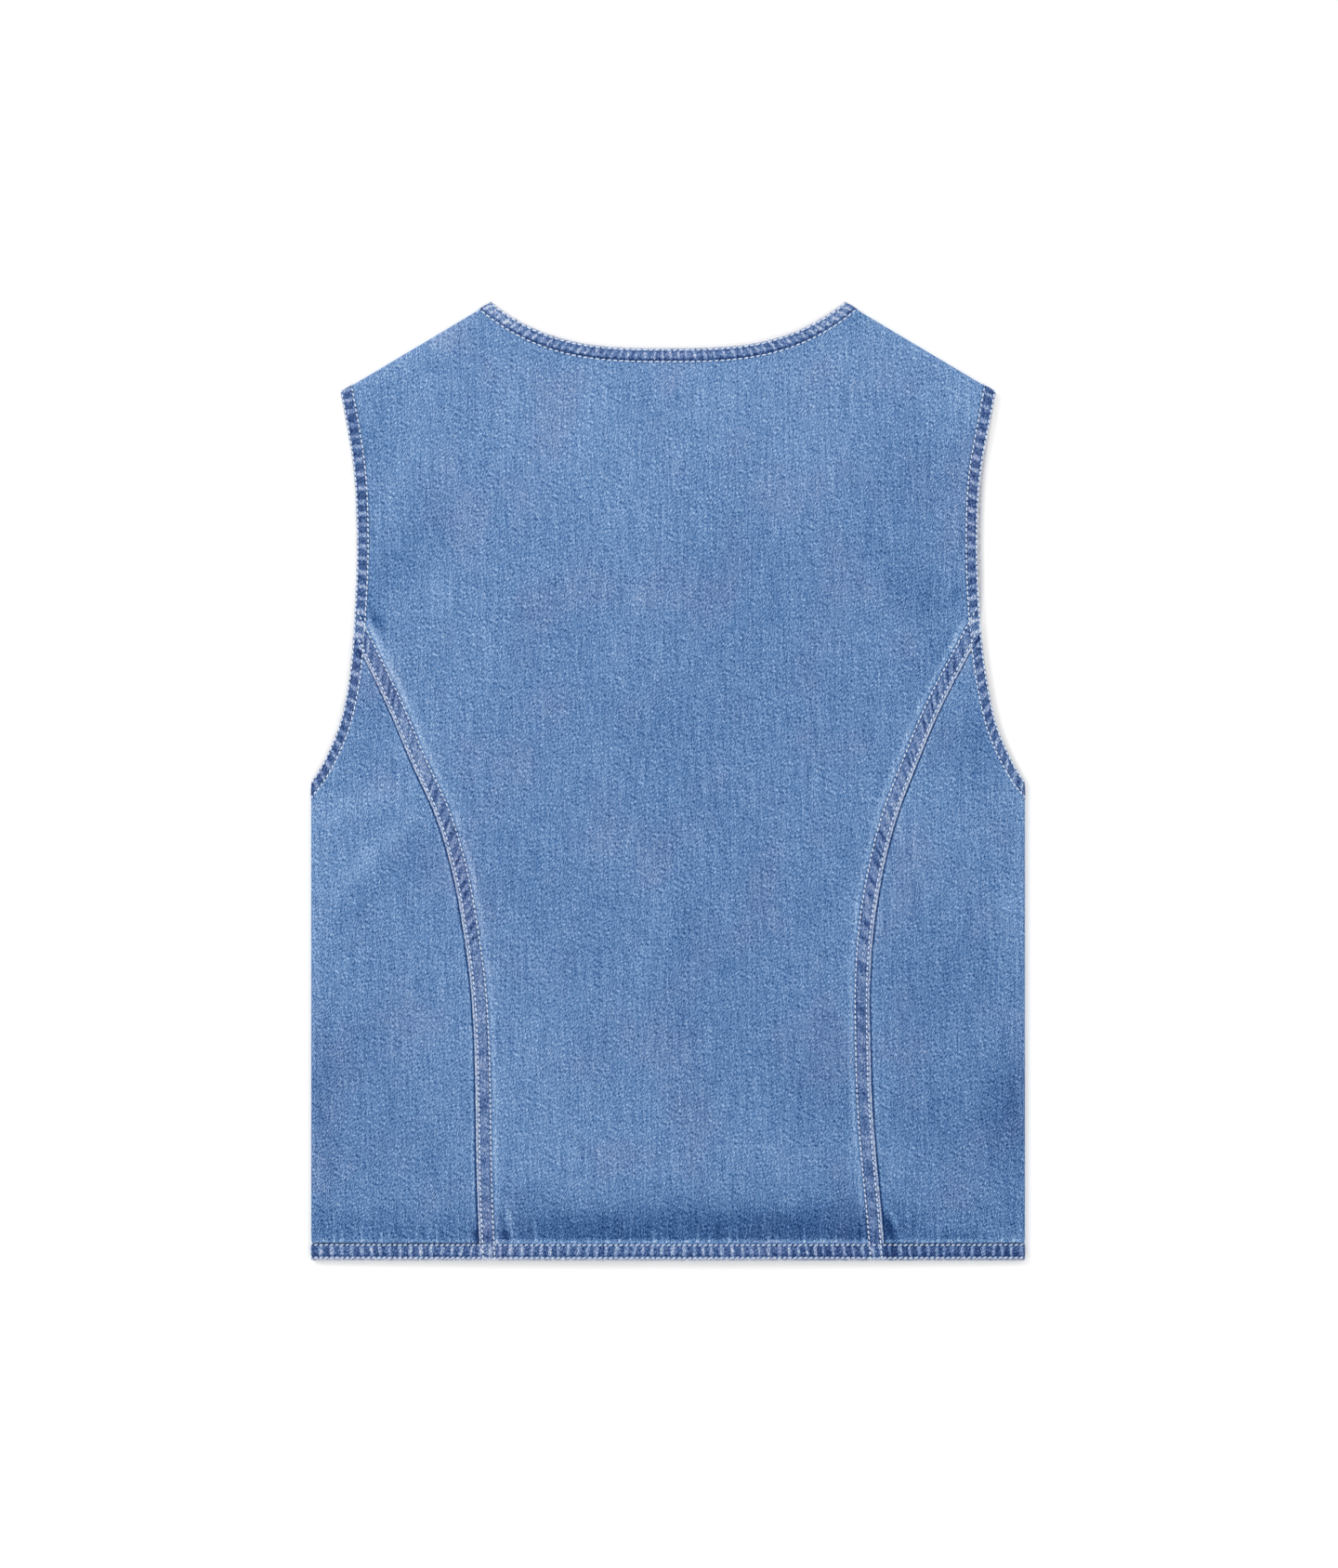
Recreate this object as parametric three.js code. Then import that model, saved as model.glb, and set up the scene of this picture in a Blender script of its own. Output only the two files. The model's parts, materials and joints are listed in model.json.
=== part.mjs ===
// A sleeveless denim vest laid flat on its front, its back up, neck towards +Y. Millimetres, +Z up.
// The origin is under the middle of the vest, on the surface that it lies on.
//
// The cloth is described as it is cut: every piece has pattern points (across, up). "across" is the
// distance from the centre back, measured round the girth of the vest, so it runs over the side fold
// and on underneath to the centre front; it is negative on the wearer's left. "up" is the height above
// the hem edge. laid() rolls a pattern point onto the flat vest, and every wall is built from it.
import * as THREE from "three";

// Main sizes
const LENGTH = 631; // hem edge to neck point
const HALF_WIDTH = 235; // centre line to the folded side edge
const CLOTH = 1.1; // one ply of denim
const HEM_PLY = 1.6; // a turned and pressed hem
const SEAM_GAP = 0.3; // between neighbouring pieces
const FOLD_R = 2.05; // outside radius of the side and shoulder folds
const CROWN = 1.95; // how much higher the middle of the back lies than its folded sides

// Neck
const NECK_HALF = 116.2; // centre line to neck point
const BACK_NECK_DROP = 30.8;
const BACK_NECK_POWER = 3.1; // how flat the scoop is in its middle
const FRONT_NECK_DROP = 125;
const FRONT_NECK_POWER = 2.6;
const NECK_HEM = 9; // depth of the turned neck hem

// Shoulders, sides and hem
const SHOULDER_TIP_X = 215.6;
const SHOULDER_TIP_UP = 571.8;
const HEM_DEEP = 10.9;
const ARMHOLE_HEM = { shoulder: 8.4, underarm: 6.9 }; // depth of the turned armhole hem
const SIDE_SEAM_X = 205; // the side seam lies underneath, this far from the centre front

// The armhole's back edge, from the shoulder down to the side fold
const ARMHOLE_BACK = [
  { up: 548, across: 211.5 },
  { up: 523.5, across: 207.6 },
  { up: 499, across: 205.7 },
  { up: 462, across: 205.1 },
  { up: 425.7, across: 206.6 },
  { up: 401.3, across: 208.2 },
  { up: 376.8, across: 211.1 },
  { up: 352.3, across: 216.6 },
  { up: 335, across: 223.6 },
  { up: 322, across: 230.4 },
];
// The armhole's front edge underneath, from the side fold up to the shoulder. Where peek is 1 the
// front's edge shows past the back's, by FRONT_PEEK.
const ARMHOLE_FRONT = [
  { up: 304.5, across: 226.5, peek: 0 },
  { up: 301, across: 216, peek: 0 },
  { up: 306.5, across: 206, peek: 0 },
  { up: 322, across: 199.5, peek: 0 },
  { up: 350, across: 197.8, peek: 0 },
  { up: 385, across: 200.5, peek: 0.3 },
  { up: 415, across: 204.3, peek: 0.8 },
  { up: 440, across: 205.4, peek: 1 },
  { up: 480, across: 205.2, peek: 1 },
  { up: 515, across: 206.6, peek: 1 },
  { up: 545, across: 210.9, peek: 0.6 },
];
const FRONT_PEEK = { left: -1.4, right: 1.8 };

const TIP_PAST = 0.6; // the armhole's edge meets the shoulder seam this far past the tip
const UNDERARM = { turn: 0.6, up: 313 }; // where the edge crosses the side fold, as a share of its turn

// The outer edge of each back seam, which is a flat fell seam from the hem to the armhole
const BACK_SEAM = [
  { up: 0, left: 123.8, right: 143.2 },
  { up: 34.5, left: 125.4, right: 140.3 },
  { up: 71.2, left: 126.4, right: 136.8 },
  { up: 107.9, left: 126.9, right: 134.2 },
  { up: 144.5, left: 127.8, right: 133.2 },
  { up: 181.2, left: 130.1, right: 133.0 },
  { up: 217.9, left: 135.1, right: 135.4 },
  { up: 254.6, left: 141.9, right: 141.2 },
  { up: 291.2, left: 152.7, right: 150.5 },
  { up: 327.9, left: 169.3, right: 164.5 },
  { up: 364.6, left: 184.9, right: 180.1 },
  { up: 401.2, left: 202.6, right: 199.4 },
  { up: 475, left: 240, right: 238 },
];
const FELL_WIDTH = 11; // across a fell seam, from its folded edge to the far ridge
const FELL_RAISE = 0.5; // how far its folded plies stand over the cloth

// Centre front
const PLACKET_HALF = 15; // each front reaches this far past the centre line
const BUTTON = { radius: 8.5, thick: 1.8, rim: 1.6, well: 0.7 };
const BUTTON_UPS = [62, 138, 214, 290, 366, 442]; // heights of the buttons above the hem
const RIDGE = { flat: 10, foot: 34, low: 15, lowFull: 50, topFull: 454, top: 488 }; // over the buttons
const RAMP = { start: 34, end: 16 }; // where the left front climbs over the right one

// Soft creases in the back as it lies: a trough or ridge along a line, with its own width and rise
const CREASES = [
  { name: "over the hem", x0: -95, up0: 26, x1: 150, up1: 24, width: 13, rise: -0.8 },
  { name: "left underarm", x0: -199, up0: 297, x1: -146, up1: 246, width: 15, rise: -0.9 },
  { name: "left underarm, lower", x0: -213, up0: 262, x1: -172, up1: 222, width: 15, rise: -0.6 },
  { name: "left chest", x0: -187, up0: 500, x1: -152, up1: 470, width: 17, rise: -0.6 },
  { name: "left shoulder", x0: -178, up0: 512, x1: -160, up1: 552, width: 17, rise: 0.5 },
  { name: "right chest", x0: 150, up0: 452, x1: 192, up1: 408, width: 17, rise: -0.7 },
  { name: "right side", x0: 217, up0: 172, x1: 217, up1: 58, width: 17, rise: -0.7 },
];

// Puckers pulled up by the stitching of the turned hems
const PUCKER = 0.28;
const PUCKER_PITCH = { hem: 7.5, neck: 6, armhole: 9 };

// How finely the walls are divided. overHem, low and high are rows at stated heights above the hem.
const ROWS = { overHem: [22, 36], plainFrom: 54, seam: 12, backArmhole: 7, frontArmhole: 8 };
const FRONT_UPS = { low: [24, 36], high: [467, 478], sideRows: 6, placketRows: 12 };
const COLUMNS = { shoulder: 4, sideBack: 7, neckHalf: 7, fold: 6, placket: 4 };
const FRONT_HEM_XS = [140, 80, RAMP.start, 28, 22, RAMP.end, 0]; // between its ends
// The shares of the armhole's length between which each line crosses it.
const CROSSES = { backSeam: [0.23, 0.42], fold: [0.38, 0.55], sideSeam: [0.45, 0.62], slide: 0.06 };

const FOLD_X = HALF_WIDTH - FOLD_R; // where a side fold starts to turn under
const FOLD_ARC = Math.PI * FOLD_R; // the fold's length over its outside
const HALF_GAP = SEAM_GAP / 2;
const SEAM_LINE_TOP = BACK_SEAM[BACK_SEAM.length - 1].up;

const lerp = (a, b, t) => a + (b - a) * t;
const clamp01 = (t) => Math.min(1, Math.max(0, t));
const smooth = (t) => clamp01(t) ** 2 * (3 - 2 * clamp01(t));
const point = (across, up) => new THREE.Vector2(across, up);

// Evenly spaced values from a to b, both ends included.
const steps = (a, b, count) => Array.from({ length: count + 1 }, (_, k) => lerp(a, b, k / count));

// The pattern position of a spot underneath, at distance x from the centre front.
const underneath = (x) => 2 * FOLD_X + FOLD_ARC - x;

// The value x where f changes sign between low and high.
function root(f, low, high) {
  const rising = f(high) > f(low);
  for (let step = 0; step < 50; step++) {
    const mid = (low + high) / 2;
    if (f(mid) > 0 === rising) high = mid;
    else low = mid;
  }
  return (low + high) / 2;
}

const FOLD_XS = steps(FOLD_X, FOLD_X + FOLD_ARC, COLUMNS.fold).slice(1);

// A smooth function of up through one column of a table that is sorted by up.
function column(table, name) {
  const curve = new THREE.CatmullRomCurve3(
    table.map((row) => new THREE.Vector3(row[name], row.up, 0)),
    false,
    "centripetal",
  );
  const end = table.length - 1;
  return (up) => curve.getPoint(root((t) => curve.getPoint(t).y - up, 0, 1 - 1e-9 / end)).x;
}

// The shoulder seam in the pattern: it lies on the fold's outermost line, a quarter turn round it.
const SHOULDER_FALL = (LENGTH - SHOULDER_TIP_UP) / (SHOULDER_TIP_X - NECK_HALF);
const SHOULDER_COS = 1 / Math.hypot(1, SHOULDER_FALL);
const SHOULDER_OUT = point(SHOULDER_FALL * SHOULDER_COS, SHOULDER_COS); // square to the shoulder line
const shoulderLine = (x) => LENGTH - (x - NECK_HALF) * SHOULDER_FALL;
const SEAM_PAST = ((Math.PI / 2 - 1) * FOLD_R - HALF_GAP) / SHOULDER_COS;
const shoulderSeam = (x) => shoulderLine(x) + SEAM_PAST;

// How far a spot lies past the line where the shoulder starts to roll over.
const pastShoulder = (x, up) => (up - shoulderLine(x)) * SHOULDER_COS + FOLD_R;

// The creases' rise at a spot of the back.
function creased(x, up) {
  let rise = 0;
  for (const crease of CREASES) {
    const along = point(crease.x1 - crease.x0, crease.up1 - crease.up0);
    const from = point(x - crease.x0, up - crease.up0);
    const t = clamp01(from.dot(along) / along.lengthSq());
    const away = from.distanceTo(along.multiplyScalar(t)) / crease.width;
    rise += crease.rise * Math.exp(-away * away);
  }
  return rise;
}

// The height of the back's upper side.
function backHeight(x, up) {
  const inside = smooth(-pastShoulder(Math.abs(x), up) / 45);
  const crown = CROWN * (1 - (x / FOLD_X) ** 2) * inside;
  const clear = smooth((FOLD_X - Math.abs(x)) / 20) * inside;
  return 2 * FOLD_R + crown + creased(x, up) * clear;
}

// The height of a front's lower side. The stiff centre spans the buttons as one low ridge, and the left
// front lies over the right one too.
function frontHeight(x, up, side, ply) {
  const ridge = smooth((RIDGE.foot - Math.abs(x)) / (RIDGE.foot - RIDGE.flat));
  const fromLow = smooth((up - RIDGE.low) / (RIDGE.lowFull - RIDGE.low));
  const fromTop = smooth((RIDGE.top - up) / (RIDGE.top - RIDGE.topFull));
  const overFront = side < 0 ? smooth((x + RAMP.start) / (RAMP.start - RAMP.end)) : 0;
  return (BUTTON.thick + SEAM_GAP) * ridge * fromLow * fromTop + (ply + SEAM_GAP) * overFront;
}

// The outside of the vest at a pattern point, as a place on the laid vest. ply is the thickness there.
function laid(across, up, ply) {
  const side = across < 0 ? -1 : 1;
  const past = Math.abs(across) - FOLD_X;
  const onFold = past > 0 && past < FOLD_ARC;
  const x = past <= 0 ? across : side * (FOLD_X - (past - FOLD_ARC));
  if (onFold) {
    const turn = past / FOLD_R;
    const fromAxis = new THREE.Vector3(side * Math.sin(turn), 0, Math.cos(turn)).multiplyScalar(FOLD_R);
    return fromAxis.add(new THREE.Vector3(side * FOLD_X, up - LENGTH / 2, FOLD_R));
  }
  const onBack = past <= 0;
  const height = onBack ? backHeight(x, up) : frontHeight(x, up, side, ply);
  const place = new THREE.Vector3(x, up - LENGTH / 2, height);
  const rolled = pastShoulder(Math.abs(x), up);
  if (rolled > 0) {
    const turn = rolled / FOLD_R;
    const pull = FOLD_R * Math.sin(turn) - rolled;
    place.x += Math.sign(x) * SHOULDER_OUT.x * pull;
    place.y += SHOULDER_OUT.y * pull;
    place.z += (onBack ? -1 : 1) * FOLD_R * (1 - Math.cos(turn));
  }
  return place;
}

// The direction out of the cloth at a pattern point.
function outward(across, up, ply) {
  const step = 0.05;
  const alongAcross = laid(across + step, up, ply).sub(laid(across - step, up, ply));
  const alongUp = laid(across, up + step, ply).sub(laid(across, up - step, ply));
  return alongAcross.cross(alongUp).normalize();
}

// A closed cloth wall over a grid of pattern points. raise(i, j) lifts its outer side off the cloth.
function wall(name, grid, ply, material, raise = () => 0) {
  const columns = grid.length;
  const rows = grid[0].length;
  const outer = [];
  const inner = [];
  grid.forEach((line, i) =>
    line.forEach(({ x, y }, j) => {
      const place = laid(x, y, ply);
      const out = outward(x, y, ply);
      outer.push(place.clone().addScaledVector(out, raise(i, j)));
      inner.push(place.addScaledVector(out, -ply));
    }),
  );
  const positions = [...outer, ...inner].flatMap((p) => p.toArray());
  const at = (i, j) => i * rows + j;
  const under = outer.length;
  const index = [];
  const quad = (a, b, c, d) => index.push(a, b, c, a, c, d);
  for (let i = 0; i + 1 < columns; i++) {
    for (let j = 0; j + 1 < rows; j++) {
      quad(at(i, j), at(i + 1, j), at(i + 1, j + 1), at(i, j + 1));
      quad(under + at(i, j), under + at(i, j + 1), under + at(i + 1, j + 1), under + at(i + 1, j));
    }
    quad(under + at(i, 0), under + at(i + 1, 0), at(i + 1, 0), at(i, 0));
    quad(at(i, rows - 1), at(i + 1, rows - 1), under + at(i + 1, rows - 1), under + at(i, rows - 1));
  }
  for (let j = 0; j + 1 < rows; j++) {
    quad(at(0, j), at(0, j + 1), under + at(0, j + 1), under + at(0, j));
    const last = columns - 1;
    quad(under + at(last, j), under + at(last, j + 1), at(last, j + 1), at(last, j));
  }
  return meshOf(name, positions, index, material);
}

// A mesh of these triangles, turned so that its faces point out.
function meshOf(name, positions, index, material) {
  const corner = (k) => new THREE.Vector3().fromArray(positions, 3 * k);
  let volume = 0;
  for (let k = 0; k < index.length; k += 3)
    volume += corner(index[k]).dot(corner(index[k + 1]).cross(corner(index[k + 2])));
  if (volume < 0) index.reverse();
  const geometry = new THREE.BufferGeometry();
  geometry.setAttribute("position", new THREE.Float32BufferAttribute(positions, 3));
  geometry.setIndex(index);
  geometry.computeVertexNormals();
  const mesh = new THREE.Mesh(geometry, material);
  mesh.name = name;
  return mesh;
}

// A grid of pattern points between four edges: left and right run up, bottom and top run across.
function patch(bottom, top, left, right) {
  const share = (line) => {
    const runs = [0];
    for (let k = 1; k < line.length; k++) runs.push(runs[k - 1] + line[k].distanceTo(line[k - 1]));
    return runs.map((run) => run / runs[runs.length - 1]);
  };
  const us = share(top).map((u, i) => (u + share(bottom)[i]) / 2);
  const vs = share(left).map((v, j) => (v + share(right)[j]) / 2);
  return us.map((u, i) =>
    vs.map((v, j) => {
      if (i === 0) return left[j];
      if (i === us.length - 1) return right[j];
      if (j === 0) return bottom[i];
      if (j === vs.length - 1) return top[i];
      const between = bottom[i].clone().lerp(top[i], v).add(left[j].clone().lerp(right[j], u));
      const corners = bottom[0].clone().lerp(bottom[us.length - 1], u);
      return between.sub(corners.lerp(top[0].clone().lerp(top[us.length - 1], u), v));
    }),
  );
}

// A line of pattern points moved sideways, to its left as it runs.
function beside(line, distance) {
  return line.map((p, k) => {
    const along = line[Math.min(k + 1, line.length - 1)].clone().sub(line[Math.max(k - 1, 0)]).normalize();
    return point(p.x - along.y * distance, p.y + along.x * distance);
  });
}

const denim = new THREE.MeshStandardMaterial({ color: 0x6b8fc0, roughness: 0.9, metalness: 0 });
const hemDenim = new THREE.MeshStandardMaterial({ color: 0x5f82b6, roughness: 0.9, metalness: 0 });
const metal = new THREE.MeshStandardMaterial({ color: 0xa9a49a, roughness: 0.35, metalness: 1 });

// A line's points: even from its start to the shoulder's roll, then half way round it, and at the seam.
// line(s) runs from s = 0 to the seam at s = 1, and distanceOf gives a point's distance from centre.
function alongToSeam(line, count, distanceOf) {
  const past = (s) => pastShoulder(distanceOf(line(s)), line(s).y);
  const at = (rolled) => root((s) => past(s) - rolled, 0.3, 1);
  return [...steps(0, at(0), count), at((Math.PI / 4) * FOLD_R), 1].map(line);
}
const ownDistance = (p) => p.x;
const distanceUnder = (p) => underneath(p.x);

// The neck edge of the back or the front, as a height over x.
const neckUp = (x, drop, power) => LENGTH - drop * (1 - (Math.abs(x) / NECK_HALF) ** power);

// The neck edge and the inner line of its hem on one half, from the centre line out to the shoulder seam.
function neckLines(drop, power) {
  const edgeAt = (x) => point(x, neckUp(x, drop, power));
  const innerAt = (x) => {
    const slope = (edgeAt(x + 0.01).y - edgeAt(x - 0.01).y) / 0.02;
    return point(x, edgeAt(x).y).add(point(slope, -1).setLength(NECK_HEM));
  };
  const half = (lineAt) => {
    const end = root((x) => lineAt(x).y - shoulderSeam(lineAt(x).x), NECK_HALF / 2, NECK_HALF * 1.1);
    return alongToSeam((s) => lineAt(s * end), COLUMNS.neckHalf, ownDistance);
  };
  return { edge: half(edgeAt), inner: half(innerAt) };
}
const BACK_NECK = neckLines(BACK_NECK_DROP, BACK_NECK_POWER);
const FRONT_NECK = neckLines(FRONT_NECK_DROP, FRONT_NECK_POWER);

// The rows of a back piece from its hem to the given height.
const backRows = (top) => [HEM_DEEP + HALF_GAP, ...ROWS.overHem, ...steps(ROWS.plainFrom, top, ROWS.seam)];

// The point where a line of pattern points crosses the place at which miss() is zero.
function crossing(line, miss) {
  const k = line.findIndex((p, i) => i + 1 < line.length && miss(p) * miss(line[i + 1]) <= 0);
  const at = (s) => line[k].clone().lerp(line[k + 1], s);
  return at(root((s) => miss(at(s)), 0, 1));
}

// One side's armhole and back seam, as lines that its pieces share.
function sideLines(side) {
  const tipX = SHOULDER_TIP_X + TIP_PAST;
  const tip = point(tipX, shoulderSeam(tipX));
  const rows = [
    tip,
    ...ARMHOLE_BACK.map((row) => point(row.across, row.up)),
    point(FOLD_X + FOLD_ARC * UNDERARM.turn, UNDERARM.up),
    ...ARMHOLE_FRONT.map((row) => point(underneath(row.across + row.peek * FRONT_PEEK[side]), row.up)),
    point(underneath(tip.x), tip.y),
  ];
  const curve = new THREE.CatmullRomCurve3(
    rows.map((row) => new THREE.Vector3(row.x, row.y, 0)),
    false,
    "centripetal",
  );
  curve.arcLengthDivisions = 600;
  const edge = (t) => point(curve.getPointAt(t).x, curve.getPointAt(t).y);

  // The line where the turned hem ends. Near each shoulder it slides along to meet the shoulder seam.
  const moved = (t, along) => {
    const tangent = curve.getTangentAt(t);
    const width = lerp(ARMHOLE_HEM.shoulder, ARMHOLE_HEM.underarm, 1 - Math.abs(2 * t - 1));
    return edge(t).add(point(tangent.y, -tangent.x).multiplyScalar(width)).addScaledVector(tangent, along);
  };
  const slideTo = (t, distanceOf) =>
    root((along) => moved(t, along).y - shoulderSeam(distanceOf(moved(t, along))), -15, 15);
  const slides = [slideTo(0, ownDistance), slideTo(1, distanceUnder)];
  const inner = (t) => {
    const fromBack = slides[0] * clamp01(1 - t / CROSSES.slide);
    const fromFront = slides[1] * clamp01(1 - (1 - t) / CROSSES.slide);
    return moved(t, fromBack + fromFront);
  };

  const seamX = column(BACK_SEAM, side);
  const seamLine = steps(0, SEAM_LINE_TOP, 48).map((up) => point(seamX(up), up));
  const ridgeLine = beside(seamLine, FELL_WIDTH);
  ridgeLine[0].y = 0;
  const lineX = (line) => (up) => crossing(line, (p) => p.y - Math.min(up, line[line.length - 1].y)).x;
  const outerX = lineX(seamLine);
  const ridgeX = lineX(ridgeLine);

  const where = (miss, range) => root((t) => miss(inner(t)), ...range);
  const ridge = where((p) => p.x - ridgeX(p.y), CROSSES.backSeam);
  const seam = where((p) => p.x - outerX(p.y), CROSSES.backSeam);
  const fold = where((p) => p.x - FOLD_X, CROSSES.fold);
  const sideSeam = where((p) => p.x - underneath(SIDE_SEAM_X), CROSSES.sideSeam);
  const folds = FOLD_XS.map((across) => where((p) => p.x - across, [fold, sideSeam]));
  const whole = (line) => [
    ...alongToSeam((s) => line(lerp(ridge, 0, s)), ROWS.backArmhole, ownDistance).reverse(),
    ...[...steps(seam, fold, COLUMNS.sideBack), ...folds].map(line),
    ...alongToSeam((s) => line(lerp(sideSeam, 1, s)), ROWS.frontArmhole, distanceUnder),
  ];
  const knots = { ridge: ROWS.backArmhole + 2, seam: ROWS.backArmhole + 3 };
  knots.fold = knots.seam + COLUMNS.sideBack;
  knots.side = knots.fold + COLUMNS.fold + 1;

  // The panels end on one side of the inner line, and the hem on the other. Both end at the shoulder seam.
  const ends = (line, shift) => {
    const last = line.length - 1;
    line[0] = point(line[0].x, shoulderSeam(line[0].x));
    line[last] = point(line[last].x, shoulderSeam(underneath(line[last].x)));
    return beside(line, shift).map((p, k) => {
      if (k === 0) return point(p.x, shoulderSeam(p.x));
      return k === last ? point(p.x, shoulderSeam(underneath(p.x))) : p;
    });
  };
  const panelLine = ends(whole(inner), -HALF_GAP);
  const hemLine = ends(whole(inner), HALF_GAP);
  const sign = side === "left" ? -1 : 1;
  return { side, sign, edgeLine: whole(edge), panelLine, hemLine, outerX, ridgeX, knots };
}

const mirroredUnder = (line) => line.map((p) => point(underneath(p.x), p.y));
const mirrored = (line, sign) => line.map((p) => point(sign * p.x, p.y));
const mirroredGrid = (grid, sign) => grid.map((line) => mirrored(line, sign));
const sides = [sideLines("left"), sideLines("right")];

// Back centre: from fell seam to fell seam, and from the hem to the neck and shoulders.
function backCentre() {
  const sideEdge = ({ sign, panelLine, ridgeX, knots }) => {
    const corner = crossing(panelLine.slice(0, knots.fold), (p) => p.x - ridgeX(p.y) + HALF_GAP);
    const lower = backRows(corner.y).map((up) => point(ridgeX(up) - HALF_GAP, up));
    return mirrored([...lower.slice(0, -1), corner, ...panelLine.slice(0, knots.ridge).reverse()], sign);
  };
  const [left, right] = sides.map(sideEdge);
  const neck = beside(BACK_NECK.inner, -HALF_GAP);
  neck[0].x = 0;
  const neckPoint = neck[neck.length - 1];
  neckPoint.y = shoulderSeam(neckPoint.x);
  const halfTop = ({ sign, panelLine }) => {
    const xs = steps(neckPoint.x, panelLine[0].x, COLUMNS.shoulder);
    return mirrored([...neck.slice(0, -1), ...xs.map((x) => point(x, shoulderSeam(x)))], sign);
  };
  const [leftTop, rightTop] = sides.map(halfTop);
  const top = [...leftTop.reverse(), ...rightTop.slice(1)];
  const bottom = steps(left[0].x, right[0].x, top.length - 1).map((x) => point(x, left[0].y));
  return wall("back_centre", patch(bottom, top, left, right), CLOTH, denim);
}

// Fell seam: the back centre's edge folded over the side back, standing proud at its outer edge.
function fellSeam({ side, sign, panelLine, outerX, ridgeX, knots }) {
  const across = [
    { share: 0, raise: FELL_RAISE },
    { share: 0.16, raise: FELL_RAISE * 0.7 },
    { share: 0.5, raise: FELL_RAISE },
    { share: 1, raise: FELL_RAISE * 0.2 },
  ];
  const outerTop = crossing(panelLine.slice(0, knots.fold), (p) => p.x - outerX(p.y) + HALF_GAP);
  const ridgeTop = crossing(panelLine.slice(0, knots.fold), (p) => p.x - ridgeX(p.y) - HALF_GAP);
  const outerLine = backRows(outerTop.y).map((up) => point(outerX(up) - HALF_GAP, up));
  const ridgeLine = backRows(ridgeTop.y).map((up) => point(ridgeX(up) + HALF_GAP, up));
  outerLine[outerLine.length - 1] = outerTop;
  ridgeLine[ridgeLine.length - 1] = ridgeTop;
  const grid = across.map(({ share }) => outerLine.map((p, j) => p.clone().lerp(ridgeLine[j], share)));
  return wall(`fell_seam_${side}`, mirroredGrid(grid, sign), CLOTH, hemDenim, (i) => across[i].raise);
}

// Side back: from the fell seam round the side fold to the side seam underneath.
function sideBack({ side, sign, panelLine, outerX, knots }) {
  const corner = crossing(panelLine.slice(0, knots.fold), (p) => p.x - outerX(p.y) - HALF_GAP);
  const left = backRows(corner.y).map((up) => point(outerX(up) + HALF_GAP, up));
  left[left.length - 1] = corner;
  const top = [corner, ...panelLine.slice(knots.seam + 1, knots.fold), panelLine[knots.fold]];
  const right = backRows(top[COLUMNS.sideBack].y).map((up) => point(FOLD_X, up));
  top[COLUMNS.sideBack] = right[right.length - 1];
  const bottom = steps(left[0].x, FOLD_X, COLUMNS.sideBack).map((x) => point(x, left[0].y));
  const grid = patch(bottom, top, left, right);
  const rowsUp = (p, across) => backRows(p.y).map((up) => point(across, up));
  FOLD_XS.forEach((across, k) => grid.push(rowsUp(panelLine[knots.fold + 1 + k], across)));
  const end = crossing(panelLine.slice(knots.fold), (p) => p.x - underneath(SIDE_SEAM_X) + HALF_GAP);
  grid.push(rowsUp(end, end.x));
  return wall(`side_back_${side}`, mirroredGrid(grid, sign), CLOTH, denim);
}

// Front: from the side seam to the placket, underneath.
function frontPanel({ side, sign, panelLine, knots }) {
  const low = HEM_DEEP + HALF_GAP;
  const neckLine = mirroredUnder(frontNeck(FRONT_NECK.inner, -HALF_GAP));
  const last = neckLine.length - 1;
  const armEnd = panelLine[panelLine.length - 1];
  const seam = steps(armEnd.x, neckLine[last].x, COLUMNS.shoulder);
  const centreX = underneath(PLACKET_HALF + HALF_GAP);
  const neckEnd = crossing(neckLine, (p) => p.x - centreX);
  const neck = neckLine.filter((p, k) => k < last && p.x < centreX - 0.5).reverse();
  const top = [...seam.map((x) => point(x, shoulderSeam(underneath(x)))), ...neck, neckEnd];

  const sideTop = crossing(panelLine.slice(knots.fold), (p) => p.x - underneath(SIDE_SEAM_X) - HALF_GAP);
  const sideRows = steps(low, sideTop.y, FRONT_UPS.sideRows).map((up) => point(sideTop.x, up));
  const outer = [...sideRows, ...panelLine.slice(knots.side + 1)];
  const ups = frontRows(neckEnd.y, outer.length);
  const centre = ups.map((up) => point(centreX, up));
  const spread = (centreX - outer[0].x) / (centreX - top[0].x);
  const bottom = top.map((p) => point(centreX - (centreX - p.x) * spread, low));
  return wall(`front_${side}`, mirroredGrid(patch(bottom, top, outer, centre), sign), CLOTH, denim);
}

// The heights of the rows along a front's centre, close where the ridge over the buttons begins and ends.
function frontRows(top, count) {
  const start = [HEM_DEEP + HALF_GAP, ...FRONT_UPS.low];
  const end = [...FRONT_UPS.high, top];
  return [...start, ...steps(RIDGE.lowFull, RIDGE.topFull, count - start.length - end.length - 1), ...end];
}

// Placket: the strip along a front's edge that crosses the centre line under or over the other one.
function placket({ side, sign }) {
  const xs = steps(PLACKET_HALF - HALF_GAP, -PLACKET_HALF, COLUMNS.placket);
  const neckLine = frontNeck(FRONT_NECK.inner, -HALF_GAP);
  const grid = xs.map((x) => {
    const top = crossing(neckLine, (p) => p.x - x).y;
    return frontRows(top, FRONT_UPS.placketRows).map((up) => point(underneath(x), up));
  });
  return wall(`placket_${side}`, mirroredGrid(grid, sign), CLOTH, denim);
}

// A line of a front's neck, moved by shift, from just past the front's edge to the shoulder seam.
function frontNeck(half, shift) {
  const whole = beside([point(-half[1].x, half[1].y), ...half], shift);
  const last = whole[whole.length - 1];
  last.y = shoulderSeam(last.x);
  return whole;
}

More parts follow.
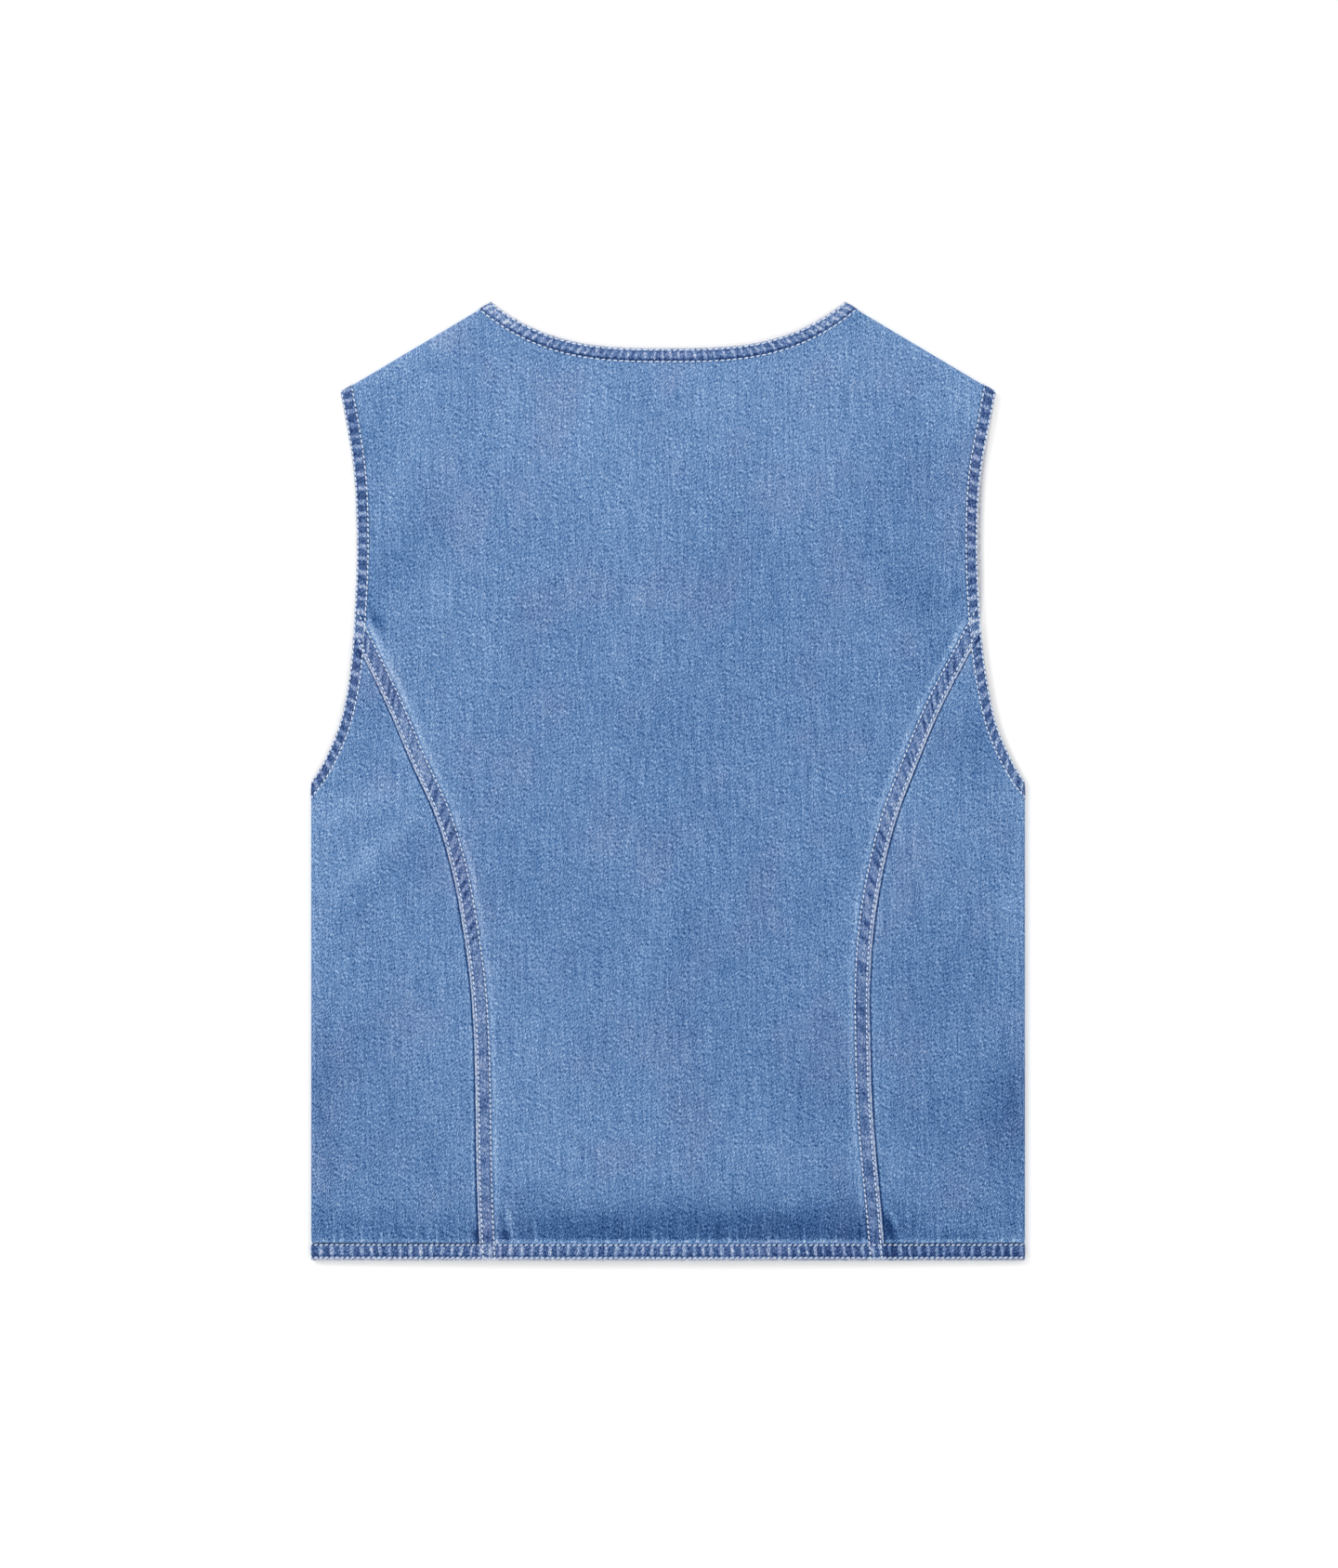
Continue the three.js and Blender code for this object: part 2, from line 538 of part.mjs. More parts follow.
// A turned hem between its edge and its inner line. Its outer side is crowned, with puckers in it.
function turnedHem(name, edge, inner, sign, puckered) {
  const grid = [0, 0.5, 1].map((share) => edge.map((p, k) => p.clone().lerp(inner[k], share)));
  const raise = (i, j) => (i === 1 && j % 2 === 1 && puckered(j) ? PUCKER : 0);
  return wall(name, mirroredGrid(grid, sign), HEM_PLY, hemDenim, raise);
}
const nowhere = () => false;

// Hem of the back: round both side folds, from side seam to side seam.
function backHem() {
  const half = [...FOLD_XS, underneath(SIDE_SEAM_X) - HALF_GAP];
  const flat = steps(-FOLD_X, FOLD_X, 2 * Math.round(FOLD_X / PUCKER_PITCH.hem) * 2);
  const line = [...half.map((x) => -x).reverse(), ...flat, ...half];
  const edge = line.map((x) => point(x, 0));
  const inner = line.map((x) => point(x, HEM_DEEP - HALF_GAP));
  const onBack = (j) => Math.abs(line[j]) < FOLD_X;
  return turnedHem("hem_back", edge, inner, 1, onBack);
}

// Hem of a front: from the side seam to the front's edge, past the centre line.
function frontHem({ side, sign }) {
  const xs = [SIDE_SEAM_X - HALF_GAP, ...FRONT_HEM_XS, -PLACKET_HALF];
  const edge = xs.map((x) => point(underneath(x), 0));
  const inner = xs.map((x) => point(underneath(x), HEM_DEEP - HALF_GAP));
  return turnedHem(`hem_front_${side}`, edge, inner, sign, nowhere);
}

// A line of points with counts(k) even steps in its run from point k to the next.
const finer = (line, counts) => {
  const run = (p, k) => steps(0, 1, counts(k)).slice(0, -1).map((s) => p.clone().lerp(line[k + 1], s));
  return [...line.slice(0, -1).flatMap(run), line[line.length - 1]];
};

// How many steps a run of a hem takes, two for each of its puckers.
const puckerSteps = (line, pitch) => (k) =>
  2 * Math.max(1, Math.round(line[k].distanceTo(line[k + 1]) / pitch));

// Neck hem of the back, from shoulder seam to shoulder seam.
function backNeckHem() {
  const roll = BACK_NECK.inner.length - 3;
  const byPitch = puckerSteps(BACK_NECK.edge, PUCKER_PITCH.neck);
  const counts = (k) => (k < roll ? byPitch(k) : 1);
  const inner = beside(BACK_NECK.inner, HALF_GAP);
  inner[0].x = 0;
  const last = inner[inner.length - 1];
  last.y = shoulderSeam(last.x);
  const whole = (line) => [...mirrored(finer(line, counts), -1).reverse(), ...finer(line, counts).slice(1)];
  const edge = whole(BACK_NECK.edge);
  return turnedHem("neck_hem_back", edge, whole(inner), 1, (j) => j > 2 && j < edge.length - 3);
}

// Neck hem of a front, from the shoulder seam to the front's edge.
function frontNeckHem({ side, sign }) {
  const toEdge = (line) => [crossing(line, (p) => p.x + PLACKET_HALF), ...line.slice(1)];
  const edge = mirroredUnder(toEdge(frontNeck(FRONT_NECK.edge, 0)));
  const inner = mirroredUnder(toEdge(frontNeck(FRONT_NECK.inner, HALF_GAP)));
  return turnedHem(`neck_hem_front_${side}`, edge, inner, sign, nowhere);
}

// Armhole hem: all round one armhole, from the back shoulder seam over the side fold to the front one.
function armholeHem({ side, sign, edgeLine, hemLine, knots }) {
  const byPitch = puckerSteps(edgeLine, PUCKER_PITCH.armhole);
  const roll = 2; // runs in the shoulder's roll
  const counts = (k) => (k >= roll && k < knots.fold ? byPitch(k) : 1);
  const edge = finer(edgeLine, counts);
  const onBack = (j) => j > roll && edge[j].x < FOLD_X;
  return turnedHem(`armhole_hem_${side}`, edge, finer(hemLine, counts), sign, onBack);
}

// Button: a plain round metal button with a raised rim, its face on the surface underneath.
function button(up, number) {
  const { radius, thick, rim, well } = BUTTON;
  const profile = [
    { r: 0, z: well },
    { r: radius - rim - 0.6, z: well },
    { r: radius - rim, z: 0 },
    { r: radius - 0.4, z: 0 },
    { r: radius, z: 0.4 },
    { r: radius, z: thick },
    { r: 0, z: thick },
  ].map(({ r, z }) => point(r, z));
  const mesh = new THREE.Mesh(new THREE.LatheGeometry(profile, 20), metal);
  mesh.rotation.x = Math.PI / 2;
  mesh.position.set(0, up - LENGTH / 2, 0);
  mesh.name = `button_${number}`;
  return mesh;
}

const vest = new THREE.Group();
vest.add(backCentre(), backHem(), backNeckHem());
for (const lines of sides) {
  vest.add(fellSeam(lines), sideBack(lines), frontPanel(lines), placket(lines));
  vest.add(frontHem(lines), frontNeckHem(lines), armholeHem(lines));
}
BUTTON_UPS.forEach((up, k) => vest.add(button(up, k + 1)));

export default vest;
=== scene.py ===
"""A sleeveless denim vest, laid flat on its front so that its back shows, seen from straight above.

Each section is one piece of the vest, with the hems and seams before the panels that carry them.
Lengths are millimetres, and MM makes them metres where a mesh is made.
A point of the cloth is (across, up): across is measured from the centre back round the side fold to
the centre front, negative on the wearer's left, and up is its height over the hem's edge.
"""

import json
import math

import bpy
import numpy as np
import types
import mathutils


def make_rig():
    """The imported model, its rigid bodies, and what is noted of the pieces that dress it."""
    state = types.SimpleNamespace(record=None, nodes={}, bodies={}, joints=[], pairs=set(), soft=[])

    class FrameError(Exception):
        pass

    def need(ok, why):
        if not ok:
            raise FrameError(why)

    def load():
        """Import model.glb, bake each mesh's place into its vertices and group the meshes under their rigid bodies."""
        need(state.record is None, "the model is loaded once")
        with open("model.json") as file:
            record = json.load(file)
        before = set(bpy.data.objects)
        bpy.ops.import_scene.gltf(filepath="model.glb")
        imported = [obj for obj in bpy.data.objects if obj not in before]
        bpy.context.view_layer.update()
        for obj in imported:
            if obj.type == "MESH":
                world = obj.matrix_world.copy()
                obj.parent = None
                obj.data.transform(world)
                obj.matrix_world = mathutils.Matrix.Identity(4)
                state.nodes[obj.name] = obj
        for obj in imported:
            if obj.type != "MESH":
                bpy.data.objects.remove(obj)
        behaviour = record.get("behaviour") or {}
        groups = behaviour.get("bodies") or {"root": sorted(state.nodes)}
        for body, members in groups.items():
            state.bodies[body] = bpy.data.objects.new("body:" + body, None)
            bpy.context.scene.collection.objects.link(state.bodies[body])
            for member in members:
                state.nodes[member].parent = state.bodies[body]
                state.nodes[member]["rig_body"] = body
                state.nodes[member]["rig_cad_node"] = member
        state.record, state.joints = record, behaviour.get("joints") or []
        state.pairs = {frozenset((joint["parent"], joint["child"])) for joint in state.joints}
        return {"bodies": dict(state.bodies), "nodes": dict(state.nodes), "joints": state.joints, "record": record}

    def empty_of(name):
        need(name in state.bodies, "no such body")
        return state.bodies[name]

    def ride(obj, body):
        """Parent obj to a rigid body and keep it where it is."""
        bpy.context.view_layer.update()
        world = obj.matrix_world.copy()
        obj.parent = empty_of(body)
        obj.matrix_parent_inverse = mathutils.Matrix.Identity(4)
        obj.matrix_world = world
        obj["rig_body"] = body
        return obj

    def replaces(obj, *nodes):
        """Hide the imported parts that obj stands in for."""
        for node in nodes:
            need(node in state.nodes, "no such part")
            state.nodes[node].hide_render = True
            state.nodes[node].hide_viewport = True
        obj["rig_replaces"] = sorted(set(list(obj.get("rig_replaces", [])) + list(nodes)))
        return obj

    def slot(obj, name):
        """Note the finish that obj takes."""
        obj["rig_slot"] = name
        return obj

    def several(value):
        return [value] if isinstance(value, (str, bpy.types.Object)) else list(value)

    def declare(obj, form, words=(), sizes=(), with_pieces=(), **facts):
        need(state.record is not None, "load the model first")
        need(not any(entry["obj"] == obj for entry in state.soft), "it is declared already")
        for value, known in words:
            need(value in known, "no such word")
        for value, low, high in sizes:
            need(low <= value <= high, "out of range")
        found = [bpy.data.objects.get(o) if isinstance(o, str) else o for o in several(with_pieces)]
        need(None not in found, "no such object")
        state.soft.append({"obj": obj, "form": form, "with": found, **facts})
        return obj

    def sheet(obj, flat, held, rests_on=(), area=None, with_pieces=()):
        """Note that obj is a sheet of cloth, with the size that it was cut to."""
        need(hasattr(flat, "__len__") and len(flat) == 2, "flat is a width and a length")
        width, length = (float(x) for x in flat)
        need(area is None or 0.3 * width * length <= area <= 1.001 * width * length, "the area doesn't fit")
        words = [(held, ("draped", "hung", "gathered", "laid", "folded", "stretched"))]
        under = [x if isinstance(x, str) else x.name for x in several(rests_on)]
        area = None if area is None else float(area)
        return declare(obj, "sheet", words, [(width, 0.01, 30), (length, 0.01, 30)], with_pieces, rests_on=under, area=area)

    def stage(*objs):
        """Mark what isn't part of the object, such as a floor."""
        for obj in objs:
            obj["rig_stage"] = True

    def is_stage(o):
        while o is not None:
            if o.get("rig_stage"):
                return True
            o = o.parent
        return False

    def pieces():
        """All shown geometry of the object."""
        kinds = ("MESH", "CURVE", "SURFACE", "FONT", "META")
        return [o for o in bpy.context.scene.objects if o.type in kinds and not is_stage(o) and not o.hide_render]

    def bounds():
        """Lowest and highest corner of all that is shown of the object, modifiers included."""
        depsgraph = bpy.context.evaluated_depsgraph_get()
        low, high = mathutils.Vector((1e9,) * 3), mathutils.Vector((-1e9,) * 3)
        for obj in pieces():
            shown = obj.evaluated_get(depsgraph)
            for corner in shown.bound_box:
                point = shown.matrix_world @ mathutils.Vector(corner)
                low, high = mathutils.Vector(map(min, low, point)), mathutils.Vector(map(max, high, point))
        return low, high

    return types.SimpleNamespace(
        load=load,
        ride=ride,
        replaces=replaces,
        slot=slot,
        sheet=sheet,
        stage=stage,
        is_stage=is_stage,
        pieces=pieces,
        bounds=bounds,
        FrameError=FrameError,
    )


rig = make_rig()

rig.load()
cad_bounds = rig.bounds()
MM = 0.001

# The photograph's view
# The camera looks straight down on the vest from about 2.4 metres, as a copy stand does.
# The picture is 1440 x 1687 pixels, and its middle is just off the middle of the vest.
PIXELS_DOWN = 1687
PIXEL = 0.6112
LENS = 85.0
SENSOR = 36.0
PICTURE_MIDDLE = (0.6, -2.0)
CLOTH_TOP = 5.0
SEES_TO = 30000.0

camera_data = bpy.data.cameras.new("copy_stand_camera")
camera_data.lens = LENS
camera_data.sensor_width = SENSOR
camera_data.clip_end = SEES_TO * MM
camera = bpy.data.objects.new("copy_stand_camera", camera_data)
camera_height = PIXELS_DOWN * PIXEL * LENS / SENSOR + CLOTH_TOP
camera.location = (PICTURE_MIDDLE[0] * MM, PICTURE_MIDDLE[1] * MM, camera_height * MM)
bpy.context.collection.objects.link(camera)
bpy.context.scene.camera = camera

# Floor and light
# A plain white sweep under soft light: one broad lamp from the upper left, a weaker one from the
# right, and an even white surround. The floor lies just clear of the cloth's lowest threads.
SURROUND_LIGHT = 0.97
FLOOR_REACH = 6000.0
FLOOR_HEIGHT = -0.9
FLOOR_WHITE = (0.93, 0.93, 0.93, 1.0)
FLOOR_ROUGHNESS = 0.9

bpy.context.scene.view_settings.view_transform = "Standard"
world = bpy.data.worlds.new("white_surround")
world.use_nodes = True
world.node_tree.nodes["Background"].inputs["Color"].default_value = (1.0, 1.0, 1.0, 1.0)
world.node_tree.nodes["Background"].inputs["Strength"].default_value = SURROUND_LIGHT
bpy.context.scene.world = world

floor_mesh = bpy.data.meshes.new("white_sweep")
floor_signs = ((-1, -1), (1, -1), (1, 1), (-1, 1))
floor_corners = [(x * FLOOR_REACH * MM, y * FLOOR_REACH * MM, FLOOR_HEIGHT * MM) for x, y in floor_signs]
floor_mesh.from_pydata(floor_corners, [], [(0, 1, 2, 3)])
floor = bpy.data.objects.new("white_sweep", floor_mesh)
bpy.context.collection.objects.link(floor)
floor_paint = bpy.data.materials.new("white_sweep")
floor_paint.use_nodes = True
floor_shader = floor_paint.node_tree.nodes["Principled BSDF"]
floor_shader.inputs["Base Color"].default_value = FLOOR_WHITE
floor_shader.inputs["Roughness"].default_value = FLOOR_ROUGHNESS
floor_mesh.materials.append(floor_paint)
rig.stage(floor)


def soft_lamp(name, place, size, power):
    """A square lamp of this size at place, both in metres, that faces the middle of the vest."""
    data = bpy.data.lights.new(name, "AREA")
    data.size = size
    data.energy = power
    lamp = bpy.data.objects.new(name, data)
    lamp.location = place
    lamp.rotation_euler = (-lamp.location).to_track_quat("-Z", "Y").to_euler()
    bpy.context.collection.objects.link(lamp)


soft_lamp("upper_left_lamp", (-2.0, 1.7, 2.1), 1.3, 42.0)
soft_lamp("right_fill_lamp", (2.2, 0.4, 2.4), 2.0, 11.0)

# Bottom hem of the back
# Turned up, pressed and stitched in two rows, from one side seam round both side folds to the other.
# Washed denim: its edge and the crests of its puckers are rubbed pale, and the hollows keep their dye.
LENGTH = 631.0
HALF_WIDTH = 235.0
CLOTH = 1.1
HEM_PLY = 1.6
SEAM_GAP = 0.3
FOLD_R = 2.05
CROWN = 1.95
# The back's crown rises within CROWN_EASE of a shoulder, and its creases within CREASE_EASE of a side.
CROWN_EASE = 45
CREASE_EASE = 20
NECK_HALF = 116.2
SHOULDER_TIP = (215.6, 571.8)
SHOULDER_PAST = 0.6
HEM_DEEP = 10.9
SIDE_SEAM_X = 205.0
FOLD_X = HALF_WIDTH - FOLD_R
FOLD_ARC = math.pi * FOLD_R
BUTTON_THICK = 1.8
RIDGE = {"flat": 10, "foot": 34, "low": 15, "low_full": 50, "top_full": 454, "top": 488}
RAMP = {"start": 34, "end": 16}
SIDES = {"left": -1, "right": 1}

# Soft creases in the back: from (x0, up0) to (x1, up1), with a width and a rise
CREASES = [
    (-95, 26, 150, 24, 13, -0.8),
    (-199, 297, -146, 246, 13, -1.0),
    (-213, 262, -172, 222, 12, -0.7),
    (-187, 500, -152, 470, 14, -0.7),
    (-190, 452, -176, 436, 10, -0.4),
    (-178, 512, -160, 552, 14, 0.5),
    (150, 452, 192, 408, 15, -0.7),
    (217, 172, 217, 58, 15, -0.8),
    (-70, 60, 60, 66, 22, 0.3),
    (10, 235, 12, 150, 12, -0.25),
]


def smooth(t):
    """0 below 0, 1 above 1, and a smooth step between."""
    t = np.clip(t, 0.0, 1.0)
    return t * t * (3.0 - 2.0 * t)


def bump(x, middle, width):
    """A bell of height 1 at middle."""
    return np.exp(-(((x - middle) / width) ** 2))


SHOULDER_FALL = (LENGTH - SHOULDER_TIP[1]) / (SHOULDER_TIP[0] - NECK_HALF)
SHOULDER_COS = 1.0 / math.hypot(1.0, SHOULDER_FALL)
SEAM_PAST = ((math.pi / 2 - 1) * FOLD_R - SEAM_GAP / 2) / SHOULDER_COS


def shoulder_line(x):
    """The height of the folded shoulder edge."""
    return LENGTH - (x - NECK_HALF) * SHOULDER_FALL


def past_shoulder(x, up):
    """How far a spot lies past the line where the shoulder starts to roll over."""
    return (up - shoulder_line(x)) * SHOULDER_COS + FOLD_R


def underneath(x):
    """The across of a spot under the vest, at distance x from the centre front."""
    return 2 * FOLD_X + FOLD_ARC - x


def crease_rise(x, up):
    """How far the creases lift or lower the back."""
    rise = np.zeros_like(x)
    for x0, up0, x1, up1, width, height in CREASES:
        run = math.hypot(x1 - x0, up1 - up0) ** 2
        t = np.clip(((x - x0) * (x1 - x0) + (up - up0) * (up1 - up0)) / run, 0, 1)
        away = np.hypot(x - x0 - t * (x1 - x0), up - up0 - t * (up1 - up0))
        rise += height * bump(away, 0, width)
    return rise


def laid(across, up, ply=CLOTH):
    """The place on the laid vest, in millimetres, of the cloth's right side at pattern points."""
    side = np.where(across < 0, -1.0, 1.0)
    past = np.abs(across) - FOLD_X
    on_back = past <= 0
    on_fold = (past > 0) & (past < FOLD_ARC)
    x = np.where(on_back, across, side * (FOLD_X - (past - FOLD_ARC)))
    inside = smooth(-past_shoulder(np.abs(x), up) / CROWN_EASE)
    clear = smooth((FOLD_X - np.abs(x)) / CREASE_EASE) * inside
    back = 2 * FOLD_R + CROWN * (1 - (x / FOLD_X) ** 2) * inside + crease_rise(x, up) * clear
    ridge = smooth((RIDGE["foot"] - np.abs(x)) / (RIDGE["foot"] - RIDGE["flat"]))
    ridge = ridge * smooth((up - RIDGE["low"]) / (RIDGE["low_full"] - RIDGE["low"]))
    ridge = ridge * smooth((RIDGE["top"] - up) / (RIDGE["top"] - RIDGE["top_full"]))
    lap = np.where(side < 0, smooth((x + RAMP["start"]) / (RAMP["start"] - RAMP["end"])), 0.0)
    front = (BUTTON_THICK + SEAM_GAP) * ridge + (ply + SEAM_GAP) * lap
    place = np.stack([x, up - LENGTH / 2, np.where(on_back, back, front)], axis=-1)

    rolled = np.maximum(past_shoulder(np.abs(x), up), 0.0)
    turn = np.minimum(rolled / FOLD_R, math.pi / 2)
    pull = FOLD_R * np.sin(turn) - rolled
    place[..., 0] += np.sign(x) * SHOULDER_FALL * SHOULDER_COS * pull
    place[..., 1] += SHOULDER_COS * pull
    place[..., 2] += np.where(on_back, -1, 1) * FOLD_R * (1 - np.cos(turn))

    turn = np.clip(past / FOLD_R, 0, math.pi)
    round_fold = [side * (FOLD_X + FOLD_R * np.sin(turn)), up - LENGTH / 2, FOLD_R * (1 + np.cos(turn))]
    return np.where(on_fold[..., None], np.stack(round_fold, axis=-1), place)


def outward(across, up, ply=CLOTH):
    """The direction out of the cloth's right side at pattern points."""
    step = 0.05
    by_across = laid(across + step, up, ply) - laid(across - step, up, ply)
    by_up = laid(across, up + step, ply) - laid(across, up - step, ply)
    out = np.cross(by_across, by_up)
    return out / np.linalg.norm(out, axis=-1, keepdims=True)


def runs(line):
    """The distance along a line at each of its points."""
    return np.concatenate([[0.0], np.cumsum(np.linalg.norm(np.diff(line, axis=0), axis=1))])


def mirrored(line, sign):
    """A pattern line or grid on the wearer's left or right."""
    return line * np.array([sign, 1.0])


def new_piece(name, mesh):
    """An object in the scene that moves with the vest."""
    piece = bpy.data.objects.new(name, mesh)
    bpy.context.collection.objects.link(piece)
    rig.ride(piece, "root")
    return piece


SHARP_EDGE = math.radians(60)


def cloth_wall(
    name, grid, material, slot, ply=CLOTH, rise=0.0, under_rise=0.0, tone=0.0, streaks=0.0, bare=(0.0, 0.0)
):
    """A closed wall of cloth over a grid of pattern points, in place of the solid of that name.

    rise lifts its right side and under_rise its wrong side. tone is how much paler it is from fading,
    and where it is negative how much darker from kept dye and from painted shade in grooves, creases
    and folds, streaks how strongly fine upright streaks show, and bare how far its right
    side and its wrong side are rubbed down to the grey of their undyed yarn.
    """
    across, up = grid[..., 0], grid[..., 1]
    place, out = laid(across, up, ply), outward(across, up, ply)
    lifted = np.broadcast_to(np.asarray(rise, float), across.shape)[..., None]
    under = np.broadcast_to(np.asarray(under_rise, float), across.shape)[..., None]
    sheets = [(place + out * lifted).reshape(-1, 3), (place + out * (under - ply)).reshape(-1, 3)]
    count = across.size
    corner = np.arange(count).reshape(across.shape)
    quads = [corner[:-1, :-1], corner[1:, :-1], corner[1:, 1:], corner[:-1, 1:]]
    quads = np.stack(quads, axis=-1).reshape(-1, 4)
    rim = np.concatenate([corner[:, 0], corner[-1, 1:], corner[-2::-1, -1], corner[0, -2:0:-1]])
    rim_next = np.roll(rim, -1)
    rim_quads = np.stack([rim, rim + count, rim_next + count, rim_next], axis=1)
    faces = np.concatenate([quads, quads[:, ::-1] + count, rim_quads])
    turned = np.cross(place[1:, :-1] - place[:-1, :-1], place[:-1, 1:] - place[:-1, :-1])
    if (turned * out[:-1, :-1]).sum() < 0:
        faces = faces[:, ::-1]
    mesh = bpy.data.meshes.new(name)
    mesh.from_pydata((np.concatenate(sheets) * MM).tolist(), [], faces.tolist())
    corners = np.zeros(len(mesh.loops), dtype=np.int32)
    mesh.loops.foreach_get("vertex_index", corners)
    flat = np.concatenate([grid.reshape(-1, 2)] * 2) * MM
    mesh.uv_layers.new(name="cut").data.foreach_set("uv", flat[corners].ravel())
    marks = {"tone": (tone, tone), "streaks": (streaks, 0.0), "bare": bare, "wrong_side": (0.0, 1.0)}
    for mark, amounts in marks.items():
        values = [np.broadcast_to(np.asarray(amount, float), across.shape).ravel() for amount in amounts]
        layer = mesh.attributes.new(mark, "FLOAT", "POINT")
        layer.data.foreach_set("value", np.concatenate(values).astype(np.float32))
    mesh.shade_smooth()
    mesh.set_sharp_from_angle(angle=SHARP_EDGE)
    mesh.materials.append(material)
    piece = new_piece(f"denim_{name}", mesh)
    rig.replaces(piece, name)
    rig.slot(piece, slot)
    return piece


class Field:
    """A value that varies over a surface: a socket, with the arithmetic that makes new ones."""

    def __init__(self, nodes, socket):
        self.nodes, self.socket = nodes, socket

    def combined(self, operation, *values):
        """The values, through one Math node."""
        return self.nodes.node("ShaderNodeMath", {"operation": operation}, dict(enumerate(values)))[0]

    def __add__(self, other):
        return self.combined("ADD", self, other)

    def __sub__(self, other):
        return self.combined("SUBTRACT", self, other)

    def __rsub__(self, other):
        return self.combined("SUBTRACT", other, self)

    def __mul__(self, other):
        return self.combined("MULTIPLY", self, other)

    __radd__ = __add__
    __rmul__ = __mul__

    def wave(self):
        """The sine of the value."""
        return self.combined("SINE", self)

    def step(self, low, high):
        """A smooth step from 0 at low to 1 at high."""
        inputs = {"Value": self, "From Min": low, "From Max": high}
        return self.nodes.node("ShaderNodeMapRange", {"interpolation_type": "SMOOTHSTEP"}, inputs)[0]


class Nodes:
    """A tree of nodes, made one node at a time."""

    def __init__(self, tree):
        self.tree = tree

    def node(self, kind, settings=None, inputs=None):
        """A node of this type, with its settings made first. Its outputs, as fields."""
        made = self.tree.nodes.new(kind)
        for name, value in (settings or {}).items():
            if name == "stops":
                self.set_stops(made.color_ramp.elements, value)
            else:
                setattr(made, name, value)
        for name, value in (inputs or {}).items():
            self.feed(made.inputs[name], value)
        return [Field(self, output) for output in made.outputs if output.enabled]

    def set_stops(self, elements, stops):
        """Sets a ramp's stops of (place, colour as seen in the light)."""
        while len(elements) < len(stops):
            elements.new(0.5)
        for element, (place, colour) in zip(elements, stops):
            element.position = place
            element.color = dyed(colour)

    def feed(self, socket, value):
        """Links a field to a socket, or sets the socket's own value."""
        if isinstance(value, Field):
            self.tree.links.new(value.socket, socket)
        else:
            socket.default_value = value


class Shader(Nodes):
    """A material's nodes, round its one surface shader."""

    def __init__(self, name):
        self.material = bpy.data.materials.new(name)
        self.material.use_nodes = True
        super().__init__(self.material.node_tree)
        self.surface = self.tree.nodes["Principled BSDF"]

    def noise(self, x, y, cell, detail=0.0):
        """Noise with this size of cell over a place in millimetres, centred on zero."""
        at = self.node("ShaderNodeCombineXYZ", None, {0: x * (1 / cell[0]), 1: y * (1 / cell[1])})[0]
        inputs = {"Vector": at, "Scale": 1.0, "Detail": detail}
        return self.node("ShaderNodeTexNoise", {"noise_dimensions": "2D"}, inputs)[0] - 0.5

    def mark(self, name):
        """A mark that was set on the mesh's points."""
        return self.node("ShaderNodeAttribute", {"attribute_name": name})[2]

    def ramp(self, value, stops):
        """The colour at value, between stops of (place, colour as seen in the light)."""
        return self.node("ShaderNodeValToRGB", {"stops": stops}, {0: value})[0]

    def mix(self, share, first, second):
        """The first colour, and by this share the second."""
        inputs = {"Factor": share, 6: first, 7: second}
        return self.node("ShaderNodeMix", {"data_type": "RGBA"}, inputs)[0]


LIGHT_GAIN = 1.2
TWILL = math.radians(62)
WALE = 1.15
UNDYED = [(0.2, (104, 113, 138)), (0.6, (170, 175, 190)), (1.0, (230, 231, 235))]
# The size of each of the denim's patterns: across and up the cloth, or for the floats across and along
# the twill. roping is the upright streaks over a hem, and dull the duller patches.
CELLS = {
    "floats": (0.66, 1.8),
    "speckle": (0.48, 0.48),
    "sway": (12, 12),
    "warp": (1.6, 42),
    "weft": (24, 1.9),
    "clumps": (5, 11),
    "cloud": (70, 95),
    "roping": (2.6, 17),
    "dull": (46, 60),
}
# How strongly each shows, on cloth whose plain tone is PLAIN
SHOWS = {
    "floats": 0.86,
    "speckle": 0.8,
    "wales": 0.05,
    "warp": 0.24,
    "weft": 0.1,
    "clumps": 0.16,
    "cloud": 0.1,
}
PLAIN = 0.48
WRONG_SIDE = 0.16
DULL_FROM = (335.8, 126.0)
WEAVE_RELIEF = 0.22


def dyed(colour):
    """The dye's own colour, from the 0 to 255 colour that it shows in this light."""
    seen = [c / 255 for c in colour]
    return [*((c / 12.92 if c <= 0.04045 else ((c + 0.055) / 1.055) ** 2.4) / LIGHT_GAIN for c in seen), 1.0]


